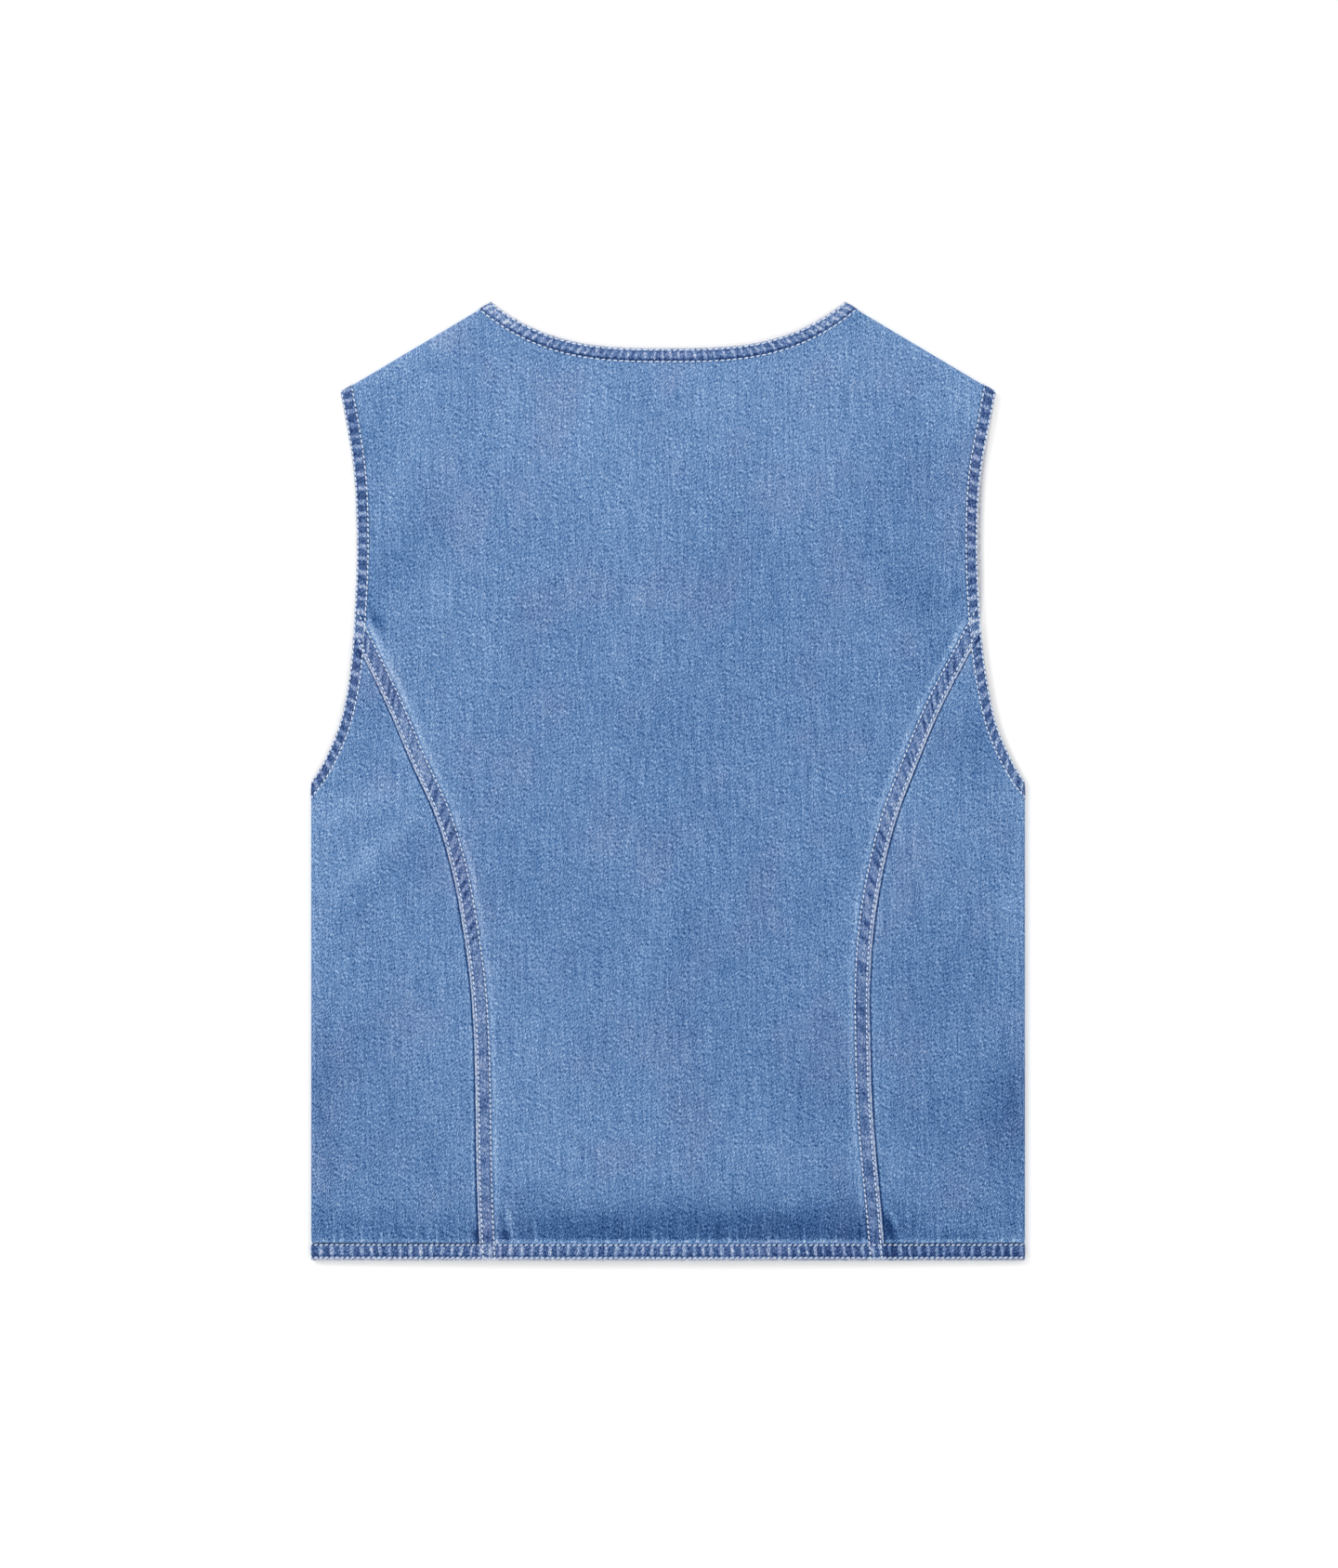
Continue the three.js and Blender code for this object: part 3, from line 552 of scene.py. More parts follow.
def denim(name, stops, dull_stops):
    """Washed right-hand twill. stops are its colours from unworn to bare, and dull_stops those of its
    duller patches."""
    shader = Shader(name)
    uv = shader.node("ShaderNodeUVMap", {"uv_map": "cut"})[0]
    x, y, _ = shader.node("ShaderNodeSeparateXYZ", None, {0: uv})
    x, y = x * (1 / MM), y * (1 / MM)
    over = x * math.sin(TWILL) - y * math.cos(TWILL)
    along = x * math.cos(TWILL) + y * math.sin(TWILL)
    floats = shader.noise(over, along, CELLS["floats"])
    speckle = shader.noise(x, y, CELLS["speckle"])
    sway = shader.noise(x, y, CELLS["sway"], 1.0)
    wales = (over * (2 * math.pi / WALE) + sway * 5.0).wave()
    warp = shader.noise(x, y, CELLS["warp"], 1.0)
    weft = shader.noise(x, y, CELLS["weft"], 1.0)
    clumps = shader.noise(x, y, CELLS["clumps"], 2.0)
    cloud = shader.noise(x, y, CELLS["cloud"], 2.0)
    roping = shader.noise(x, y, CELLS["roping"]).step(0.08, 0.24) * shader.mark("streaks")
    weave = floats * SHOWS["floats"] + speckle * SHOWS["speckle"] + wales * SHOWS["wales"]
    tone = weave + warp * SHOWS["warp"] + weft * SHOWS["weft"]
    tone = tone + clumps * SHOWS["clumps"] + cloud * SHOWS["cloud"]
    tone = tone + PLAIN + shader.mark("tone") + roping + shader.mark("wrong_side") * WRONG_SIDE
    dull = shader.noise(x + DULL_FROM[0], y + DULL_FROM[1], CELLS["dull"], 3.0).step(-0.02, 0.22)
    worn = shader.mix(dull, shader.ramp(tone, stops), shader.ramp(tone, dull_stops))
    colour = shader.mix(shader.mark("bare"), worn, shader.ramp(tone, UNDYED))
    relief = {"Strength": 0.5, "Distance": WEAVE_RELIEF * MM, "Height": weave}
    shader.feed(shader.surface.inputs["Base Color"], colour)
    shader.feed(shader.surface.inputs["Roughness"], 0.88 - weave * 0.1)
    shader.feed(shader.surface.inputs["Normal"], shader.node("ShaderNodeBump", None, relief)[0])
    shader.surface.inputs["Specular IOR Level"].default_value = 0.08
    shader.surface.inputs["Sheen Weight"].default_value = 0.01
    return shader.material


PRESSED_COLOURS = [
    (0.0, (26, 45, 90)),
    (0.25, (53, 82, 134)),
    (0.5, (94, 125, 174)),
    (0.75, (145, 167, 205)),
    (1.0, (222, 226, 234)),
]
PRESSED_DULL = [
    (0.0, (29, 44, 90)),
    (0.25, (56, 81, 134)),
    (0.5, (99, 125, 173)),
    (0.75, (150, 166, 203)),
    (1.0, (223, 225, 233)),
]
pressed_denim = denim("pressed_denim", PRESSED_COLOURS, PRESSED_DULL)

# Across the hem, from its inner edge at 0 to its outer edge at 1: rise and tone. Where the rise dips,
# at the inner row and just inside the outer row, the tone is darker: painted shade in those grooves.
# The pale outer edge is wear.
HEM_PROFILE = np.array(
    [
        (0.0, -0.3, -0.1),
        (0.05, -0.2, -0.22),
        (0.09, -0.05, -0.18),
        (0.13, 0.14, -0.06),
        (0.2, 0.34, 0.0),
        (0.3, 0.4, 0.0),
        (0.48, 0.4, 0.0),
        (0.6, 0.32, -0.04),
        (0.68, 0.18, -0.18),
        (0.73, 0.02, -0.22),
        (0.78, -0.1, -0.1),
        (0.83, -0.06, 0.06),
        (0.88, 0.08, 0.14),
        (0.93, 0.08, 0.2),
        (0.97, -0.08, 0.24),
        (1.0, -0.55, 0.28),
    ]
)
HEM_ROWS = (10.35, 2.05)
HEM_PUCKERS = {"pitch": 6.5, "height": 0.42, "pale": 0.38, "dark": 0.22}
PUCKER_UNEVEN = 0.24
CREST_HALF = 0.17
HOLLOW = (0.13, 0.25)
EDGE_TURN = 0.55
BARE = 0.75
WRONG_SIDE_BARE_FROM = 0.58


def uneven_marks(length, pitch, draw, uneven):
    """The places of marks along a line, at an uneven pitch."""
    steps = pitch * (1 + uneven * draw.uniform(-1, 1, int(length / pitch / (1 - uneven)) + 6))
    return np.cumsum(steps) - 2 * pitch


def between_marks(along, marks):
    """How far a place lies from one mark to the next, from 0 to 1, and the number of that stretch."""
    stretch = np.clip(np.searchsorted(marks, along) - 1, 0, len(marks) - 2)
    return (along - marks[stretch]) / (marks[stretch + 1] - marks[stretch]), stretch


def turned_hem(name, edge, inner, profile, outer_row, puckers, seed, changes=None):
    """A turned and stitched hem between two pattern lines, with puckers pulled up by its stitching.

    outer_row is the share at which the outer row runs. puckers gives their pitch, their height, how pale
    the crests are and how dark the hollows are. changes gives what to add to the rise and the tone.
    """
    share = profile[:, 0]
    grid = inner[None] + (edge - inner)[None] * share[:, None, None]
    along = np.broadcast_to(runs(edge)[None], grid.shape[:2])
    s = np.broadcast_to(share[:, None], along.shape)
    rise, tone = (np.broadcast_to(profile[:, k, None], along.shape) for k in (1, 2))
    draw = np.random.default_rng(seed)
    marks = uneven_marks(along[0, -1] + 20, puckers["pitch"], draw, PUCKER_UNEVEN)
    lean = 1.6 * np.sin(along / 61 + seed) + 0.9 * np.sin(along / 17)
    t, stretch = between_marks(along + lean * s, marks)
    crest_strength = draw.uniform(0.45, 1.0, len(marks))[stretch]
    hollow_strength = draw.uniform(0.6, 1.0, len(marks))[stretch]
    crest = bump(t, 0.5, CREST_HALF) * crest_strength
    hollow = smooth((np.abs(t - 0.5) - HOLLOW[0]) / (HOLLOW[1] - HOLLOW[0])) * hollow_strength
    between_rows = smooth((s - 0.06) / 0.1) * smooth((outer_row - 0.03 - s) / 0.12)
    rise = rise + puckers["height"] * (crest - 0.4) * between_rows
    tone = tone + (puckers["pale"] * crest - puckers["dark"] * hollow) * between_rows
    if changes:
        more_rise, more_tone = changes(grid, s)
        rise, tone = rise + more_rise, tone + more_tone
    under = EDGE_TURN * bump(s, 1, 0.05)
    bare = [BARE * smooth((s - start) / 0.06) for start in (outer_row + 0.03, WRONG_SIDE_BARE_FROM)]
    return cloth_wall(name, grid, pressed_denim, "hem_denim", HEM_PLY, rise, under, tone, bare=bare)


# Where each felled seam's middle runs down through the hem, and how far it reaches to each side
FELL_LOW = {"left": -118.5, "right": 137.6}
FELL_REACH = 5.6
# A fold beside the right one, its shade painted into the hem as a darker patch: its place and reach
FOLD_SHADE = (145.8, 3.6)


def over_felled_seams(grid, s):
    """Thicker and paler where the felled seams run down through the hem, darker right of the middle, and darker still
    in the painted shade of the fold beside the right seam.
    """
    across = grid[..., 0]
    more = sum(bump(((across - x) / FELL_REACH) ** 2, 0, 1) for x in FELL_LOW.values())
    # kept darkens the hem right of the middle, and beside the right seam it adds the painted shade of a fold.
    kept = 0.02 + 0.11 * smooth((across - 60) / 50) * smooth((300 - across) / 50)
    kept = kept + 0.3 * bump(across, *FOLD_SHADE) * smooth((0.85 - s) / 0.1)
    return 0.3 * more * smooth((0.97 - s) / 0.1), 0.14 * more - kept


hem_xs = np.arange(-underneath(SIDE_SEAM_X), underneath(SIDE_SEAM_X) + 0.4, 0.8)
hem_edge = np.stack([hem_xs, np.zeros_like(hem_xs)], axis=1)
hem_inner = np.stack([hem_xs, np.full_like(hem_xs, HEM_DEEP)], axis=1)
hem_outer_row = 1 - HEM_ROWS[1] / HEM_DEEP
hem_back = turned_hem(
    "hem_back", hem_edge, hem_inner, HEM_PROFILE, hem_outer_row, HEM_PUCKERS, 11, over_felled_seams
)

# Back neck hem
# Turned under narrowly and stitched in two rows, and puckered where the curve was eased in. Pressed
# denim, rubbed paler than the bottom hem. BACK_NECK is how deep its scoop is, and how flat in its middle.
BACK_NECK = (30.8, 3.1)
NECK_HEM = 9.0
NECK_ROWS = (NECK_HEM, 1.4)
NECK_PUCKERS = {"pitch": 5.2, "height": 0.34, "pale": 0.24, "dark": 0.18}
# Across the hem, as in HEM_PROFILE. Its tone is darker beside the inner row and where the rise dips
# inside the outer row: painted shade in those grooves.
NECK_PROFILE = np.array(
    [
        (0.0, -0.3, -0.16),
        (0.05, -0.1, -0.3),
        (0.12, 0.16, -0.34),
        (0.2, 0.32, -0.16),
        (0.3, 0.4, 0.06),
        (0.46, 0.42, 0.08),
        (0.58, 0.38, 0.07),
        (0.68, 0.2, -0.02),
        (0.76, 0.02, -0.08),
        (0.84, -0.05, -0.02),
        (0.9, 0.08, 0.16),
        (0.95, 0.0, 0.24),
        (0.98, -0.2, 0.3),
        (1.0, -0.55, 0.34),
    ]
)


def shoulder_seam(x):
    """The height at which the back and front are sewn together, on the outermost line of the fold."""
    return shoulder_line(x) + SEAM_PAST


def beside(line, distance):
    """A line moved sideways, to its left as it runs."""
    along = np.gradient(line, axis=0)
    along /= np.linalg.norm(along, axis=1, keepdims=True)
    return line + distance * np.stack([-along[:, 1], along[:, 0]], axis=1)


def at_shares(line, shares):
    """The points of a line at these shares of its length."""
    along = runs(line)
    return np.stack([np.interp(shares * along[-1], along, line[:, k]) for k in (0, 1)], axis=1)


def neck_line(drop, power, inset):
    """A line that runs inset inside the neck's edge, from the centre to the shoulder seam."""
    x = np.linspace(0, NECK_HALF * 1.12, 900)
    edge = np.stack([x, LENGTH - drop * (1 - (x / NECK_HALF) ** power)], axis=1)
    line = beside(edge, -inset)
    line[0, 0] = 0.0
    past = np.argmax(line[:, 1] >= shoulder_seam(line[:, 0]))
    return line[: past + 1]


def whole_neck(inset):
    """A line beside the back neck's edge, from shoulder seam to shoulder seam."""
    half = at_shares(neck_line(*BACK_NECK, inset), np.linspace(0, 1, 190))
    return np.vstack([mirrored(half, -1)[::-1], half[1:]])


def paler_ends(grid, s):
    """Paler towards the shoulders."""
    return 0.0, 0.14 * smooth((np.abs(grid[..., 0]) - 80) / 30)


neck_outer_row = 1 - NECK_ROWS[1] / NECK_HEM
neck_edge, neck_inner = whole_neck(0.0), whole_neck(NECK_HEM)
neck_hem_back = turned_hem(
    "neck_hem_back", neck_edge, neck_inner, NECK_PROFILE, neck_outer_row, NECK_PUCKERS, 23, paler_ends
)

# Armhole hems
# One round each armhole, from the back shoulder under the arm to the front one: pressed denim, with
# dark puckers between its two rows and a rubbed, pale edge, which on the front is almost bare.
# On the back: height, and distance from the centre
ARMHOLE_BACK = [
    (548, 211.5),
    (523.5, 207.6),
    (499, 205.7),
    (462, 205.1),
    (425.7, 206.6),
    (401.3, 208.2),
    (376.8, 211.1),
    (352.3, 216.6),
    (335, 223.6),
    (322, 230.4),
]
# How much further in the back's edge lies on each side, between these two heights
DRAWN_IN = {"left": 0.0, "right": 1.2}
DRAWN_IN_UPS = (385, 540)
# On the front: height, distance from the centre, and how far the edge peeks out past the back's
ARMHOLE_FRONT = [
    (304.5, 226.5, 0),
    (301, 216, 0),
    (306.5, 206, 0),
    (322, 199.5, 0),
    (350, 197.8, 0),
    (385, 200.5, 0.3),
    (415, 204.3, 0.8),
    (440, 205.4, 1),
    (480, 205.2, 1),
    (515, 206.6, 1),
    (545, 210.9, 0.6),
]
FRONT_PEEK = {"left": -1.4, "right": 1.8}
ARMHOLE_HEM = {"shoulder": 8.4, "underarm": 6.9}
ARMHOLE_ROWS = (0.02, 0.87)
ARMHOLE_PUCKERS = {"pitch": 7.8, "height": 0.36, "pale": 0.26, "dark": 0.26}
# Where the edge crosses the side fold, as a share of the fold's turn and a height
UNDERARM = {"turn": 0.6, "up": 313.0}
# The share of the armhole, at each shoulder, in which the hem's inner line slides to end on the seam
SLIDE = 0.06
# Across the hem, as in HEM_PROFILE. Its tone is darker where the rise dips, at the inner row and just
# inside the outer row: painted shade in those grooves.
ARMHOLE_PROFILE = np.array(
    [
        (0.0, -0.3, -0.14),
        (0.05, -0.1, -0.16),
        (0.12, 0.16, -0.04),
        (0.22, 0.34, 0.0),
        (0.36, 0.4, 0.0),
        (0.55, 0.38, 0.0),
        (0.66, 0.28, -0.02),
        (0.75, 0.12, -0.1),
        (0.81, -0.04, -0.12),
        (0.87, -0.08, 0.0),
        (0.91, 0.06, 0.16),
        (0.95, 0.06, 0.28),
        (0.985, -0.15, 0.38),
        (1.0, -0.55, 0.44),
    ]
)


def smooth_line(points, per_run=24):
    """A dense line through points: a centripetal Catmull-Rom curve."""
    p = np.asarray(points, float)
    p = np.vstack([2 * p[0] - p[1], p, 2 * p[-1] - p[-2]])
    line = []
    for a, b, c, d in zip(p, p[1:], p[2:], p[3:]):
        k0, k1, k2, k3 = np.cumsum([0.0] + [math.dist(*pair) ** 0.5 for pair in ((a, b), (b, c), (c, d))])
        t = np.linspace(k1, k2, per_run, endpoint=False)[:, None]
        ab = ((k1 - t) * a + (t - k0) * b) / (k1 - k0)
        bc = ((k2 - t) * b + (t - k1) * c) / (k2 - k1)
        cd = ((k3 - t) * c + (t - k2) * d) / (k3 - k2)
        abc = ((k2 - t) * ab + (t - k0) * bc) / (k2 - k0)
        bcd = ((k3 - t) * bc + (t - k1) * cd) / (k3 - k1)
        line.append(((k2 - t) * abc + (t - k1) * bcd) / (k2 - k1))
    return np.vstack(line + [p[-2:-1]])


def armhole_line(side, inset_share):
    """A line round an armhole, from the back shoulder to the front one, in right-hand coordinates.

    inset_share is 0 at the edge and 1 where its hem ends.
    """
    tip_x = SHOULDER_TIP[0] + SHOULDER_PAST
    tip_up = shoulder_seam(tip_x)
    low, high = DRAWN_IN_UPS
    rows = [(tip_x, tip_up)]
    for up, x in ARMHOLE_BACK:
        rows.append((x - DRAWN_IN[side] * smooth((up - low) / 30) * smooth((high - up) / 30), up))
    rows.append((FOLD_X + FOLD_ARC * UNDERARM["turn"], UNDERARM["up"]))
    rows += [(underneath(x + peek * FRONT_PEEK[side]), up) for up, x, peek in ARMHOLE_FRONT]
    edge = smooth_line(rows + [(underneath(tip_x), tip_up)], 60)
    share = runs(edge) / runs(edge)[-1]
    narrow = 1 - np.abs(2 * share - 1)
    wide, slim = ARMHOLE_HEM["shoulder"], ARMHOLE_HEM["underarm"]
    width = wide + (slim - wide) * narrow
    along = np.gradient(edge, axis=0)
    along /= np.linalg.norm(along, axis=1, keepdims=True)
    line = edge + np.stack([along[:, 1], -along[:, 0]], axis=1) * (width * inset_share)[:, None]
    # Near each shoulder the line slides along itself, so that it ends on the shoulder seam.
    first = line[0, 1] - shoulder_seam(line[0, 0])
    last = line[-1, 1] - shoulder_seam(underneath(line[-1, 0]))
    line -= along * (first / along[0, 1] * np.clip(1 - share / SLIDE, 0, 1))[:, None]
    line -= along * (last / along[-1, 1] * np.clip(1 - (1 - share) / SLIDE, 0, 1))[:, None]
    return line


# The outer edge of each felled back seam: height, and distance from the centre on the left and right
BACK_SEAM = np.array(
    [
        (0, 123.8, 143.2),
        (34.5, 125.4, 140.3),
        (71.2, 126.4, 136.8),
        (107.9, 126.9, 134.2),
        (144.5, 127.8, 133.2),
        (181.2, 130.1, 133.0),
        (217.9, 135.1, 135.4),
        (254.6, 141.9, 141.2),
        (291.2, 152.7, 150.5),
        (327.9, 169.3, 164.5),
        (364.6, 184.9, 180.1),
        (401.2, 202.6, 199.4),
        (475, 240, 238),
    ]
)


def seam_points(side, first=0):
    """The points of a back seam's outer edge, from this row of its table up."""
    column = {"left": 1, "right": 2}[side]
    return BACK_SEAM[first:, [column, 0]]


def seam_line(side, inset):
    """A line that runs beside a back seam's outer edge, inset towards the centre, from the hem up."""
    return beside(smooth_line(seam_points(side)), inset)


def meeting(seam, armhole):
    """The indices of the points of a seam line and an armhole line where the two cross on the back."""
    apart = np.linalg.norm(seam[:, None] - armhole[None, : len(armhole) // 2], axis=2)
    return np.unravel_index(np.argmin(apart), apart.shape)


def nearest_on(line, points):
    """How far each of these points lies from a line."""
    return np.linalg.norm(points[..., None, :] - line, axis=-1).min(axis=-1)


def armhole_changes(side):
    """What a felled seam, wear and a painted shadow beside the seam's folded edge change in an armhole's hem."""
    middle = armhole_line(side, 0.5)
    spot = middle[meeting(seam_line(side, 4.5), middle)[1]]
    fold = smooth_line(seam_points(side, 8), 60)
    shadow_path, inside = beside(fold, -0.5), beside(fold, 0.8)

    def changes(grid, s):
        points = mirrored(grid, SIDES[side])
        over_seam = bump((np.linalg.norm(points - spot, axis=-1) / 7.5) ** 2, 0, 1)
        on_front = smooth((points[..., 0] - FOLD_X - 10) / 20) * smooth((s - 0.5) / 0.15)
        pale_line = 0.3 * bump(nearest_on(inside, points), 0, 0.6)
        # A pale rubbed line just inside the seam's folded edge, and a dark line of painted shadow just outside it.
        line = pale_line - 0.6 * bump(nearest_on(shadow_path, points), 0, 0.7)
        return 0.15 * over_seam * smooth((0.95 - s) / 0.1), 0.16 * over_seam + 0.5 * on_front + line

    return changes


armhole_hems = {}
for side, sign in SIDES.items():
    shares = np.linspace(0, 1, 760)
    edge, inner = (mirrored(at_shares(armhole_line(side, s), shares), sign) for s in (0.0, 1.0))
    name, changes = f"armhole_hem_{side}", armhole_changes(side)
    armhole_hems[side] = turned_hem(
        name, edge, inner, ARMHOLE_PROFILE, ARMHOLE_ROWS[1], ARMHOLE_PUCKERS, 40 + sign, changes
    )

# Felled back seams
# The back centre's edge, folded under and stitched down over the side back in two rows, from the hem
# to the armhole. Its folded edge is rubbed pale, and the doubled cloth keeps dark patches as it puckers.
FELL_WIDTH = 9.9
FELL_ROWS = (2.4, 9.85)
# Across the seam, from its folded edge: distance, rise and tone. The tone is darker on the rolled
# folded edge and where the rise dips at the two rows: painted shade there, beside pale rubbed crests.
FELL_PROFILE = np.array(
    [
        (0.0, -0.5, -0.12),
        (0.25, 0.15, 0.16),
        (0.6, 0.46, 0.3),
        (1.1, 0.48, 0.33),
        (1.5, 0.3, 0.2),
        (2.0, 0.04, -0.1),
        (2.6, 0.02, -0.14),
        (3.1, 0.26, -0.05),
        (4.0, 0.5, 0.02),
        (5.4, 0.58, 0.02),
        (7.2, 0.52, 0.02),
        (8.4, 0.38, 0.0),
        (9.1, 0.12, -0.1),
        (9.5, -0.1, -0.18),
        (9.9, -0.25, -0.2),
    ]
)


def rows_on_band(line, armhole, low):
    """A seam line from a height over the hem's edge up to where it meets a line round the armhole."""
    k, m = meeting(line, armhole)
    start = np.argmax(line[:, 1] > low)
    return np.vstack([line[start : k + 1], armhole[m]])


DARK_PATCHES = {"pitch": 15.0, "uneven": 0.45, "sunk": 0.22, "dark": 0.32}
# The height above which the patches are closer, and the one above which they are stronger
CLOSER_FROM = 190
STRONGER_FROM = 180

fell_seams = {}
for side, sign in SIDES.items():
    armhole = armhole_line(side, 1.0)
    shares = np.linspace(0, 1, 460)
    lines = [rows_on_band(seam_line(side, inset), armhole, HEM_DEEP - 0.5) for inset in (0, FELL_WIDTH)]
    edge, inner = (at_shares(line, shares) for line in lines)
    d = FELL_PROFILE[:, 0]
    grid = edge[None] + (inner - edge)[None] * (d / FELL_WIDTH)[:, None, None]
    along = np.broadcast_to(grid[0, :, 1], grid.shape[:2])
    d, rise, tone = (np.broadcast_to(FELL_PROFILE[:, k, None], along.shape) for k in range(3))
    draw = np.random.default_rng(6 + sign)
    marks = uneven_marks(780, DARK_PATCHES["pitch"], draw, DARK_PATCHES["uneven"])
    t, stretch = between_marks(along + np.maximum(along - CLOSER_FROM, 0), marks)
    strength = draw.uniform(0.2, 1.0, len(marks))[stretch] * (1 + smooth((along - STRONGER_FROM) / 60))
    middle = bump(d, 5.6, 3.0)
    blob = np.sin(math.pi * t) ** 2 * strength * middle
    rub = 0.05 * np.sin(along / 2.3) * np.sin(along / 5.1) * (d < 1.4)
    grid = mirrored(grid, sign)
    kept = 0.04 * smooth((60 - along) / 30) + (0.1 * bump(along, 155, 30) if side == "right" else 0.0)
    worn = (0.05 + 0.08 * smooth((along - 170) / 40)) * middle
    rise = rise + DARK_PATCHES["sunk"] * (0.4 * middle - blob)
    tone = tone + worn - DARK_PATCHES["dark"] * blob + rub - kept
    fell_seams[side] = cloth_wall(f"fell_seam_{side}", grid, pressed_denim, "hem_denim", rise=rise, tone=tone)

# Stitching of the back
# Lockstitch in off-white spun thread: two rows along every hem and felled seam, about seven stitches
# to the inch, each pulled a little into the cloth, with a needle hole between it and the next.
STITCH = {"width": 0.92, "height": 0.66}
HOLE = {"length": 0.9, "width": 0.9, "height": 0.4}
STITCH_SHARE = 0.86
PITCH = 3.45
NECK_PITCH = 3.9
# How high the thread rides over a hem and over a felled seam, how much higher where that seam crosses a
# hem, how deep the needle holes sink, and how far along its row the first stitch is
RIDE = 0.06
FELL_RIDE = 0.16
BAND_RIDE = 0.5
HOLE_SINK = 0.12
ROW_START = 1.0


def stitch_nodes():
    """Geometry nodes that lay one stitch after another along the rows of a mesh of lines."""
    tree = bpy.data.node_groups.new("rows_of_stitches", "GeometryNodeTree")
    floats = ["Pitch", "Start", "Length", "Width", "Height", "Slant", "Sway"]
    kinds = {"Rows": "Geometry", **{name: "Float" for name in floats}, "Seed": "Int", "Thread": "Material"}
    for name, kind in kinds.items():
        tree.interface.new_socket(name, in_out="INPUT", socket_type=f"NodeSocket{kind}")
    tree.interface.new_socket("Stitches", in_out="OUTPUT", socket_type="NodeSocketGeometry")
    nodes = Nodes(tree)
    given = dict(zip(kinds, nodes.node("NodeGroupInput")))

    def drawn(low, high, more_seed):
        """A number drawn for each stitch."""
        inputs = {2: low, 3: high, "Seed": given["Seed"] + more_seed}
        return nodes.node("FunctionNodeRandomValue", {"data_type": "FLOAT"}, inputs)[0]

    rows = nodes.node("GeometryNodeMeshToCurve", None, {"Mesh": given["Rows"]})[0]
    to_its_end = {"Curve": rows, 4: given["Start"], 5: 99.0}
    trimmed = nodes.node("GeometryNodeTrimCurve", {"mode": "LENGTH"}, to_its_end)[0]
    by_pitch = {"Curve": trimmed, "Length": given["Pitch"]}
    spaced = nodes.node("GeometryNodeResampleCurve", {"mode": "LENGTH"}, by_pitch)[0]
    along = nodes.node("GeometryNodeInputTangent")[0]
    out = nodes.node("GeometryNodeInputNamedAttribute", {"data_type": "FLOAT_VECTOR"}, {"Name": "out"})[0]
    axes = {"primary_axis": "X", "secondary_axis": "Z"}
    facing = nodes.node("FunctionNodeAxesToRotation", axes, {"Primary Axis": along, "Secondary Axis": out})[0]
    sway = drawn(-1.0, 1.0, 1) * given["Sway"] + given["Slant"]
    sway = nodes.node("ShaderNodeCombineXYZ", None, {"Z": sway})[0]
    swayed = nodes.node("FunctionNodeEulerToRotation", None, {"Euler": sway})[0]
    turn = {"Rotation": facing, "Rotate By": swayed}
    facing = nodes.node("FunctionNodeRotateRotation", {"rotation_space": "LOCAL"}, turn)[0]
    length = given["Length"] * drawn(0.42, 0.53, 2)
    size = {0: length, 1: given["Width"] * drawn(0.45, 0.54, 3), 2: given["Height"] * 0.5}
    scale = nodes.node("ShaderNodeCombineXYZ", None, size)[0]
    ball = nodes.node("GeometryNodeMeshUVSphere", None, {"Segments": 8, "Rings": 5, "Radius": 1.0})[0]
    placed = {"Points": spaced, "Instance": ball, "Rotation": facing, "Scale": scale}
    stitches = nodes.node("GeometryNodeInstanceOnPoints", None, placed)[0]
    solid = nodes.node("GeometryNodeRealizeInstances", None, {"Geometry": stitches})[0]
    solid = nodes.node("GeometryNodeSetShadeSmooth", None, {0: solid})[0]
    painted = nodes.node("GeometryNodeSetMaterial", None, {"Geometry": solid, "Material": given["Thread"]})[0]
    nodes.node("NodeGroupOutput", None, {0: painted})
    return tree


def spun_thread(name, pale, dark):
    """Spun cotton, with a fine twist that shows as a change of tone and a low relief."""
    shader = Shader(name)
    place = shader.node("ShaderNodeTexCoord")[3]
    inputs = {"Vector": place, "Scale": 3300.0, "Detail": 1.0}
    twist = shader.node("ShaderNodeTexNoise", None, inputs)[0]
    colour = shader.ramp(twist, [(0.3, dark), (0.7, pale)])
    relief = shader.node("ShaderNodeBump", None, {"Strength": 0.4, "Distance": 0.0001, "Height": twist})[0]
    shader.feed(shader.surface.inputs["Base Color"], colour)
    shader.feed(shader.surface.inputs["Normal"], relief)
    shader.surface.inputs["Roughness"].default_value = 0.75
    shader.surface.inputs["Specular IOR Level"].default_value = 0.2
    return shader.material


stitch_tree = stitch_nodes()
thread_paint = spun_thread("off_white_thread", (234, 247, 255), (204, 221, 252))
# The needle holes are dark bodies sunk between the stitches: painted shade where the thread dives into the cloth.
hole_shade_paint = spun_thread("needle_holes", (48, 62, 98), (28, 40, 72))


